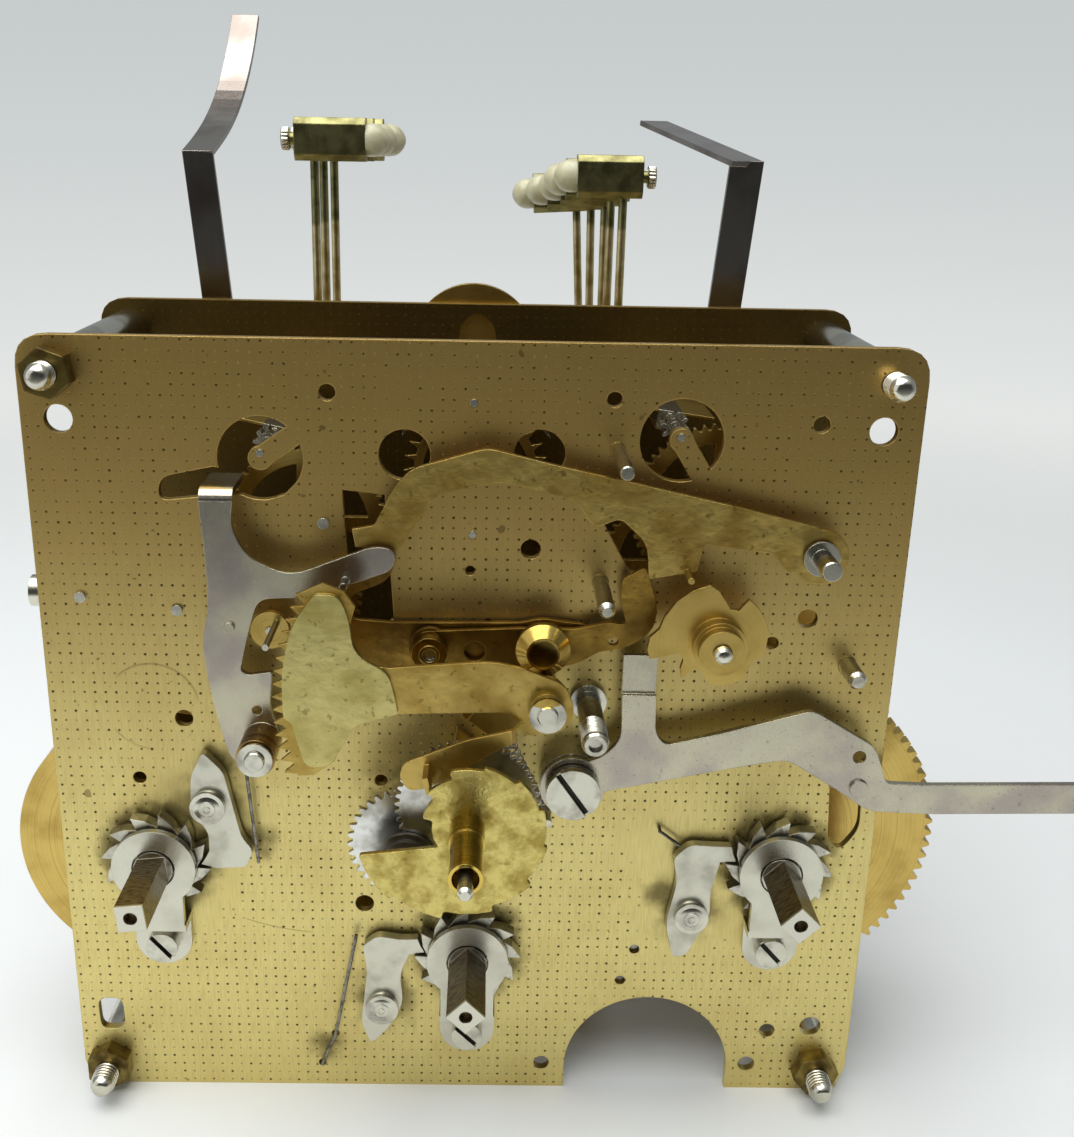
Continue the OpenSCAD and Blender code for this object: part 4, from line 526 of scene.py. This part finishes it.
def polished_strap():
    """Polished steel strip of the straps: nearly a mirror, with faint wipe marks along it."""
    f = Finish("polished nickel plated strap")
    t = f.tree
    wipe = f.marks(0.6, (1, 1, 12), 3)
    colour = laid(t, "A39C95", "857A72", f.clouds(12, 3, 0.4, 0.7))
    return f.finish(colour, total(t, 0.1, (wipe, 0.12)), 0.2, wipe, 0.004)


def hammer_finish():
    """Sawn and milled brass bar of the hammer heads, a dark olive, with paler drawn brass
    rods below them."""
    f = Finish("milled brass hammer heads")
    t = f.tree
    cloud = f.clouds(3, 4, 0.35, 0.7)
    head = laid(t, "948F62", "66623F", cloud)
    rod = laid(t, "D2C498", "A8975F", cloud)
    colour = laid(t, rod, head, (f.z, HAMMER_HEADS_FROM - 0.5, HAMMER_HEADS_FROM + 0.5))
    saw = f.marks(0.3, (1, 8, 8))
    return f.finish(colour, total(t, 0.26, (saw, 0.14)), 0.3, saw, 0.02)


def moulded_nylon(look):
    """Moulded nylon: cream, translucent and waxy."""
    f = Finish("moulded nylon", 0.0)
    cloud = f.clouds(2, 3, 0.4, 0.7)
    f.shader.inputs["Subsurface Weight"].default_value = 0.4
    f.shader.inputs["Subsurface Scale"].default_value = MM
    f.shader.inputs["Subsurface Radius"].default_value = (1.0, 0.9, 0.7)
    return f.finish(laid(f.tree, look.nylon, "B3AE8E", cloud), total(f.tree, 0.3, (cloud, 0.1)))


def give(material, *names):
    """Gives CAD nodes this material in place of their plain ones."""
    for name in names:
        mesh = NODES[name].data
        mesh.materials.clear()
        mesh.materials.append(material)


def grid_mesh(name, points):
    """A grid of points in millimetres, its first index once round and its second along, as a mesh:
    neighbouring points are joined by four-sided faces."""
    count, rows = points.shape[:2]
    i, j = np.meshgrid(np.arange(count), np.arange(rows - 1), indexing="ij")
    here, after = i * rows + j, (i + 1) % count * rows + j
    faces = np.stack([here, after, after + 1, here + 1], -1).reshape(-1, 4)
    mesh = bpy.data.meshes.new(name)
    mesh.from_pydata((points.reshape(-1, 3) * MM).tolist(), [], faces.tolist())
    return mesh


def surface(name, points, material, body):
    """A closed grid of points made into one piece in place. Each end's points meet at a pole and are
    merged, and edges sharper than 38 degrees stay sharp."""
    mesh = grid_mesh(name, points)
    work = bmesh.new()
    work.from_mesh(mesh)
    bmesh.ops.remove_doubles(work, verts=work.verts, dist=1e-7)
    bmesh.ops.dissolve_degenerate(work, edges=work.edges, dist=1e-8)
    bmesh.ops.recalc_face_normals(work, faces=work.faces)
    work.to_mesh(mesh)
    work.free()
    mesh.polygons.foreach_set("use_smooth", np.ones(len(mesh.polygons), bool))
    mesh.set_sharp_from_angle(angle=math.radians(38))
    mesh.materials.append(material)
    piece = bpy.data.objects.new(name, mesh)
    bpy.context.scene.collection.objects.link(piece)
    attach(piece, body)
    return piece


def once_round(sides):
    """The angles of a full turn in equal steps, as a column."""
    return np.linspace(0, 2 * np.pi, sides, endpoint=False)[:, None]


def turned(centre, profile, sides=64):
    """A profile of radius and depth carried once round an axis along the depth: right is the centre
    plus radius times the cosine, up is the centre plus radius times the sine."""
    radius, depth = np.array(profile, float).T
    angle = once_round(sides)
    return np.stack([centre[0] + radius * np.cos(angle), np.broadcast_to(depth, (sides, len(depth))),
                     centre[1] + radius * np.sin(angle)], -1)


def threaded(centre, start, end, root, crest, pitch, sides=48, steps=10):
    """A thread about an axis along the depth: the radius runs from root to crest and back as a
    flattened triangle wave of the depth divided by the pitch less the turn, fades out near the ends,
    and both ends close at the axis."""
    depth = np.linspace(start, end, int(abs(end - start) / pitch * steps) + 2)
    angle = once_round(sides)
    phase = np.mod(depth / pitch - angle / (2 * np.pi), 1)
    wave = np.clip(1.3 - np.abs(phase - 0.5) * 2.6, 0, 1)
    fade = np.clip(np.minimum(depth - depth.min(), depth.max() - depth) / (0.6 * pitch), 0, 1)
    radius = root + (crest - root) * wave * fade
    radius[:, 0] = radius[:, -1] = 0
    depth = np.broadcast_to(depth, radius.shape).copy()
    depth[:, 0], depth[:, -1] = depth[:, 1], depth[:, -2]
    return np.stack([centre[0] + radius * np.cos(angle), depth, centre[1] + radius * np.sin(angle)], -1)


def swept(path, radius, sides):
    """A round wire along a path: each ring lies in the plane across the path, on two directions, the
    first square to the path and to one fixed direction; both ends close at the path."""
    run = np.gradient(path, axis=0)
    run /= np.linalg.norm(run, axis=1, keepdims=True)
    side = np.cross(run, (0.31, 0.77, 0.56))
    side /= np.linalg.norm(side, axis=1, keepdims=True)
    angle = once_round(sides)[..., None]
    tube = path + radius * (np.cos(angle) * side + np.sin(angle) * np.cross(run, side))
    start, end = (np.broadcast_to(path[i], (sides, 1, 3)) for i in (0, -1))
    return np.concatenate([start, tube, end], 1)


def across(points, start, direction):
    """Turns a shape made about the depth axis so that its axis runs from start along a direction."""
    matrix = np.array(Vector((0, 1, 0)).rotation_difference(Vector(direction)).to_matrix())
    return points @ matrix.T + np.array(start, float)


def head_frame(hammer):
    """A hammer head's middle on its rod and the direction of its tip, turned by the rod's tilt."""
    angle = math.radians(hammer.tilt)
    reach = hammer.top - HAMMER_HUBS
    middle = np.array([hammer.foot + reach * math.sin(angle), hammer.depth,
                       HAMMER_HUBS + reach * math.cos(angle)])
    return middle, np.array([hammer.way * math.cos(angle), 0, -hammer.way * math.sin(angle)])


class CLOCK_OT_plates(bpy.types.Operator):
    """Brass plates, their pillars and nuts, and the brass cock at the back"""
    bl_idname = "clock.plates"
    bl_label = "Plates and pillars"

    def execute(self, context):
        look = context.scene.clock_look
        give(plate_finish(look), "front_plate")
        give(plate_finish(look, BACK_PLATE_FRONT), "back_plate")
        steel = ground_steel(look, "turned steel pillars", rough=0.16)
        give(steel, "plate_pillars")
        give(tarnished_nut(look), "pillar_nuts")
        give(turned_brass(look, "milled brass cock", COCK_AXIS), "back_cock")
        # rounded end of a stud: radius, and depth behind the stud's nominal end
        cap = [(0, -0.3), (0.8, -0.28), (1.35, -0.1), (1.7, 0.35), (1.92, 0.8), (2.04, 1.15), (0, 1.15)]
        for number, (centre, end, bare) in enumerate(STUDS, 1):
            surface("stud_thread_%d" % number, threaded(
                centre, end + 0.9, bare, STUD_ROOT, STUD_CREST, look.thread_pitch / MM), steel, "frame")
            surface("stud_end_%d" % number, turned(centre, [(r, end + y) for r, y in cap]), steel,
                    "frame")
        return {"FINISHED"}


class CLOCK_OT_winding(bpy.types.Operator):
    """Winding squares, ratchets, clicks, their retainers, rivets and springs"""
    bl_idname = "clock.winding"
    bl_label = "Winding work"

    def execute(self, context):
        look = context.scene.clock_look
        for name in WINDING:
            give(winding_finish(look, "milled steel %s square and ratchet" % name),
                 name + "_winding_arbor")
        clicks = ground_steel(look, "blanked and tumbled steel clicks", "A9A595", 0.3, 4)
        give(clicks, *(name + "_click" for name in WINDING))
        give(ground_steel(look, "blanked steel retainers, nickel plate", "BBB7A6", 0.27, 6),
             "ratchet_retainers")
        bright = ground_steel(look, "turned bright steel heads", "9C988E", 0.15, 3)
        give(bright, "click_rivets")
        give(slotted_finish(look, "turned retainer screws, painted shade in slots", RETAINER_SCREWS,
                            RETAINER_SCREW_RADIUS, RETAINER_SCREW_FACE), "retainer_screws")
        give(slotted_finish(look, "turned lever screw, painted shade in slot", [BIG_SCREW], BIG_SCREW_RADIUS,
                            BIG_SCREW_FACE), "silent_lever_screw")
        give(spring_wire(look), "click_springs")
        # domed rivet head with two turned grooves: radius, and depth behind the rivets' front
        head = [(0, -0.27), (0.5, -0.25), (0.56, -0.17), (0.62, -0.25), (1.3, -0.21), (1.36, -0.13),
                (1.42, -0.19), (2.1, -0.05), (2.6, 0.2), (2.86, 0.55), (2.95, 1.05), (2.95, 1.85),
                (2.85, 2.05), (0, 2.05)]
        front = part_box("click_rivets")[0][1] / MM
        for name, centre in CLICKS.items():
            surface(name + "_rivet_head", turned(centre, [(r, front + y) for r, y in head]), bright,
                    "frame")
        return {"FINISHED"}


class CLOCK_OT_levers(bpy.types.Operator):
    """Strike and chime levers in front of the plate, with their studs and posts"""
    bl_idname = "clock.levers"
    bl_label = "Levers and rack"

    def execute(self, context):
        look = context.scene.clock_look
        give(rack_finish(look), "rack")
        give(hook_finish(look), "rack_hook")
        give(stamped_nickel(look), "silent_lever")
        give(turned_brass(look, "turned brass gathering pallet, steel pin", GATHERING, PALLET_CORE,
                          0.4, PALLET_PIN), "gathering_pallet")
        give(stamped_brass("stamped brass lever, browned", look.lever_brass, "9A7C3A"), "lock_lever")
        give(stamped_brass("stamped brass lever, dark with oil", "A2823C", "6E5426"),
             "warning_lever", "lifting_lever")
        give(studs_finish(look), "lever_studs")
        post = ground_steel(look, "turned steel posts", "8A857A", 0.17, 3)
        give(post, "stop_posts", "side_screw")
        surface("hollow_post_thread", threaded(HOLLOW_POST, POST_THREAD_START, POST_THREAD_END,
                                               POST_ROOT, POST_CREST, POST_PITCH), post, "frame")
        # rack spring: close coils of drawn wire along a straight axis, a helix of the coils' radius
        start, end = np.array([5.4, -8.9, 8]), np.array([12.2, -2.6, -9.2])
        coils, radius, wire = 13, 1.1, 0.2
        axis = (end - start) / np.linalg.norm(end - start)
        side = np.cross(axis, (0, 1, 0))
        side /= np.linalg.norm(side)
        along = np.linspace(0, 1, coils * 24 + 1)[:, None]
        turn = 2 * np.pi * coils * along
        path = start + (end - start) * along + radius * (
            np.cos(turn) * side + np.sin(turn) * np.cross(axis, side))
        coil = surface("rack_spring_coil", swept(path, wire, 10), spring_wire(look), "frame")
        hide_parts("rack_spring")
        return {"FINISHED"}


class CLOCK_OT_motion_work(bpy.types.Operator):
    """Cannon pinion, minute wheel, hour wheel with its pipe, and the hour snail"""
    bl_idname = "clock.motion_work"
    bl_label = "Motion work"

    def execute(self, context):
        give(hour_wheel_finish(), "hour_wheel")
        give(minute_wheel_finish(), "minute_wheel")
        give(snail_finish(), "hour_snail")
        give(turned_brass(context.scene.clock_look, "turned brass pinion on the centre arbor", (0, 0),
                          CANNON_CORE), "cannon_pinion")
        return {"FINISHED"}


class CLOCK_OT_trains(bpy.types.Operator):
    """Barrels, wheels, arbors, flies and the pallets between and behind the plates"""
    bl_idname = "clock.trains"
    bl_label = "Wheel trains"

    def execute(self, context):
        look, record = context.scene.clock_look, frame["record"]
        slots = {part["node"]: part["material_slot"] for part in record["subparts"]}
        for joint in frame["joints"]:
            centre = joint["pos_m"][0] / MM, joint["pos_m"][2] / MM
            for node in record["behaviour"]["bodies"][joint["child"]]:
                if slots[node] == "wheel_brass" and node not in ("hour_snail", "cannon_pinion"):
                    name = "turned brass " + node.replace("_", " ")
                    core = 0 if "barrel" in node else ARBOR_CORE
                    give(turned_brass(look, name, centre, core), node)
        give(turned_brass(look, "turned brass locking cam", CAM_AXIS, CAM_CORE, 0.1), "locking_cam")
        give(spring_wire(look), "mainsprings", "rack_spring")
        give(ground_steel(look, "ground steel pallets"), "pallet_arbor")
        return {"FINISHED"}


class CLOCK_OT_hammers(bpy.types.Operator):
    """Hammer heads with nylon tips and knurled set screws, their brackets, and the two straps"""
    bl_idname = "clock.hammers"
    bl_label = "Hammers and straps"

    def execute(self, context):
        look = context.scene.clock_look
        give(hammer_finish(), "strike_hammers", *("chime_hammer_%d" % i for i in range(1, 6)))
        give(stamped_brass("stamped brass brackets", look.lever_brass, "9A7C3A"), "hammer_brackets")
        give(polished_strap(), "left_strap", "right_strap")
        nylon = moulded_nylon(look)
        screw = ground_steel(look, "turned set screws", "8C877C", 0.18, 2)
        # profiles of radius and distance: the tip's from the head's end, the screw's from its seat
        tip = turned((0, 0), [(0, 0), (2.86, 0), (2.93, 0.4), (2.94, 1.1), (2.86, 1.9), (2.66, 2.5),
                              (2.35, 3.0), (1.9, 3.45), (1.35, 3.85), (0.7, 4.15), (0, 4.26)], 40)
        sides = look.knurls * 6
        knob = turned((0, 0), [(0, 0.9), (1.8, 0.95), (1.98, 1.15), (1.98, 2.25), (1.8, 2.46),
                               (0.9, 2.5), (0, 2.5)], sides)
        # the knurls: the rim's radius swings by a cosine round the screw
        grip = 1 + 0.045 * np.cos(once_round(sides) * look.knurls) * np.array([0, 0, 1, 1, 0, 0, 0])
        knob[..., 0] *= grip
        knob[..., 2] *= grip
        for number, hammer in enumerate(HAMMERS, 1):
            middle, way = head_frame(hammer)
            surface("nylon_tip_%d" % number, across(tip, middle + way * hammer.head_end, way), nylon,
                    hammer.body)
            surface("set_screw_%d" % number, across(knob, middle - way * SCREW_SEAT, -way), screw,
                    hammer.body)
        return {"FINISHED"}


class CLOCK_OT_stage(bpy.types.Operator):
    """Pale floor, soft light and the camera at the photograph's angle"""
    bl_idname = "clock.stage"
    bl_label = "Stage"

    def execute(self, context):
        context.scene.view_settings.view_transform = "Standard"
        self.add_camera(context.scene)
        self.add_floor(context.scene)
        self.add_room(context.scene)
        self.add_lamps(context.scene)
        return {"FINISHED"}

    def add_camera(self, scene):
        """The camera, worked out from the plate's corners and dot grid in the photograph."""
        data = bpy.data.cameras.new("camera")
        data.lens, data.sensor_width, data.sensor_fit = 41.16, 36, "AUTO"
        data.shift_x, data.clip_start = 0.0299, 0.01
        camera = bpy.data.objects.new("camera", data)
        right = Vector((0.9998036, -0.0077865, 0.0182260))
        back = Vector((-0.0131262, -0.9491486, 0.3145546))
        turn = Matrix((right, back.cross(right), back)).transposed().to_4x4()
        camera.matrix_world = Matrix.Translation((0.0021868, -0.1953291, 0.0974646)) @ turn
        scene.collection.objects.link(camera)
        scene.camera = camera

    def add_floor(self, scene):
        """A disc, rings of growing radius round the middle, that fades out so that no edge shows."""
        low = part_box("front_plate")[0][2] / MM
        angle = -once_round(64)
        ring = np.array([0, 60, 200, 400, 700, 1100])
        mesh = grid_mesh("floor", np.stack([ring * np.cos(angle), ring * np.sin(angle),
                                            np.full((len(angle), len(ring)), low)], -1))
        floor = bpy.data.objects.new("floor", mesh)
        scene.collection.objects.link(floor)
        material = bpy.data.materials.new("plain pale floor")
        material.use_nodes = True
        t = material.node_tree
        shader = t.nodes["Principled BSDF"]
        shader.inputs["Base Color"].default_value = (*scene.clock_stage.floor, 1)
        shader.inputs["Roughness"].default_value = 0.8
        place = add(t, "TexCoord", out="Object")
        far = add(t, "VectorMath", {0: place}, out="Value", operation="LENGTH")
        # in front of the movement the floor ends sooner, so that the plate's top mirrors the dark room
        ahead = mask(t, (add(t, "SeparateXYZ", {0: place}, out=1), -0.12, -0.37))
        gone = add(t, "Math", {0: mask(t, (far, 0.26, 0.75)), 1: ahead}, operation="MAXIMUM")
        both = add(t, "MixShader", {0: gone, 1: shader.outputs[0], 2: add(t, "BsdfTransparent")})
        t.links.new(both, t.nodes["Material Output"].inputs["Surface"])
        mesh.materials.append(material)

    def add_room(self, scene):
        """The world: pale to the camera, with a darker front to bare metal, even to everything else."""
        stage = scene.clock_stage
        scene.world = bpy.data.worlds.new("room")
        scene.world.use_nodes = True
        t = scene.world.node_tree
        _, depth, up = add(t, "SeparateXYZ", {0: add(t, "TexCoord", out="Generated")}).node.outputs
        above = mask(t, (up, 0.35, 0.85))
        front = mask(t, (depth, 0, -0.75), (up, 0.85, 0.35))
        # the room is darkest straight ahead and a little brighter low down
        darkest = total(t, stage.dark_front, (mask(t, (up, -0.3, 0.05)), -0.6 * stage.dark_front))
        mirrored = add(t, "Mix", {"Factor": front, 2: stage.side_room, 3: darkest})
        mirrored = add(t, "Math", {0: mirrored, 1: above}, operation="MAXIMUM")
        rays = add(t, "LightPath").node.outputs
        metal = add(t, "Math", {0: rays["Is Glossy Ray"], 1: rays["Is Transmission Ray"]},
                    operation="MAXIMUM")
        strength = add(t, "Mix", {"Factor": metal, 2: stage.room, 3: mirrored})
        strength = add(t, "Mix", {"Factor": rays["Is Camera Ray"], 2: strength, 3: 1.0})
        pale = laid(t, stage.backdrop_low, stage.backdrop_high, (up, -0.4, 0.12))
        t.links.new(pale, t.nodes["Background"].inputs["Color"])
        t.links.new(strength, t.nodes["Background"].inputs["Strength"])

    def add_lamps(self, scene):
        """Two soft square lamps: name, power, size, place and aim, in metres."""
        stage = scene.clock_stage
        for name, power, size, place, aim in (
                ("key", stage.key_power, 0.85, (-0.12, -0.1, 0.7), (0, 0.02, 0)),
                ("fill", stage.fill_power, 0.7, (-0.6, -0.3, 0.25), (0, 0, 0))):
            lamp = bpy.data.lights.new(name, "AREA")
            lamp.energy, lamp.size = power, size
            turn = (Vector(aim) - Vector(place)).to_track_quat("-Z", "Y").to_matrix().to_4x4()
            obj = bpy.data.objects.new(name, lamp)
            obj.matrix_world = Matrix.Translation(place) @ turn
            scene.collection.objects.link(obj)


class CLOCK_PT_panel(bpy.types.Panel):
    """Colours, sizes and the steps that make the movement"""
    bl_label = "Clock movement"
    bl_idname = "CLOCK_PT_panel"
    bl_space_type = "VIEW_3D"
    bl_region_type = "UI"
    bl_category = "Clock movement"

    def draw(self, context):
        for group in (context.scene.clock_look, context.scene.clock_stage):
            for name in group.__annotations__:
                self.layout.prop(group, name)
        for step in STEPS:
            self.layout.operator(step.bl_idname)


GROUPS = (MovementLook, StageLook)
STEPS = (CLOCK_OT_stage, CLOCK_OT_plates, CLOCK_OT_winding, CLOCK_OT_levers, CLOCK_OT_motion_work,
         CLOCK_OT_trains, CLOCK_OT_hammers)


def register():
    for item in (*GROUPS, *STEPS, CLOCK_PT_panel):
        bpy.utils.register_class(item)
    bpy.types.Scene.clock_look = PointerProperty(type=MovementLook)
    bpy.types.Scene.clock_stage = PointerProperty(type=StageLook)


def unregister():
    del bpy.types.Scene.clock_stage
    del bpy.types.Scene.clock_look
    for item in (CLOCK_PT_panel, *reversed(STEPS), *reversed(GROUPS)):
        bpy.utils.unregister_class(item)


def main():
    """Makes the movement step by step."""
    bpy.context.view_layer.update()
    register()
    for step in STEPS:
        group, name = step.bl_idname.split(".")
        getattr(getattr(bpy.ops, group), name)()


if __name__ == "__main__":
    main()
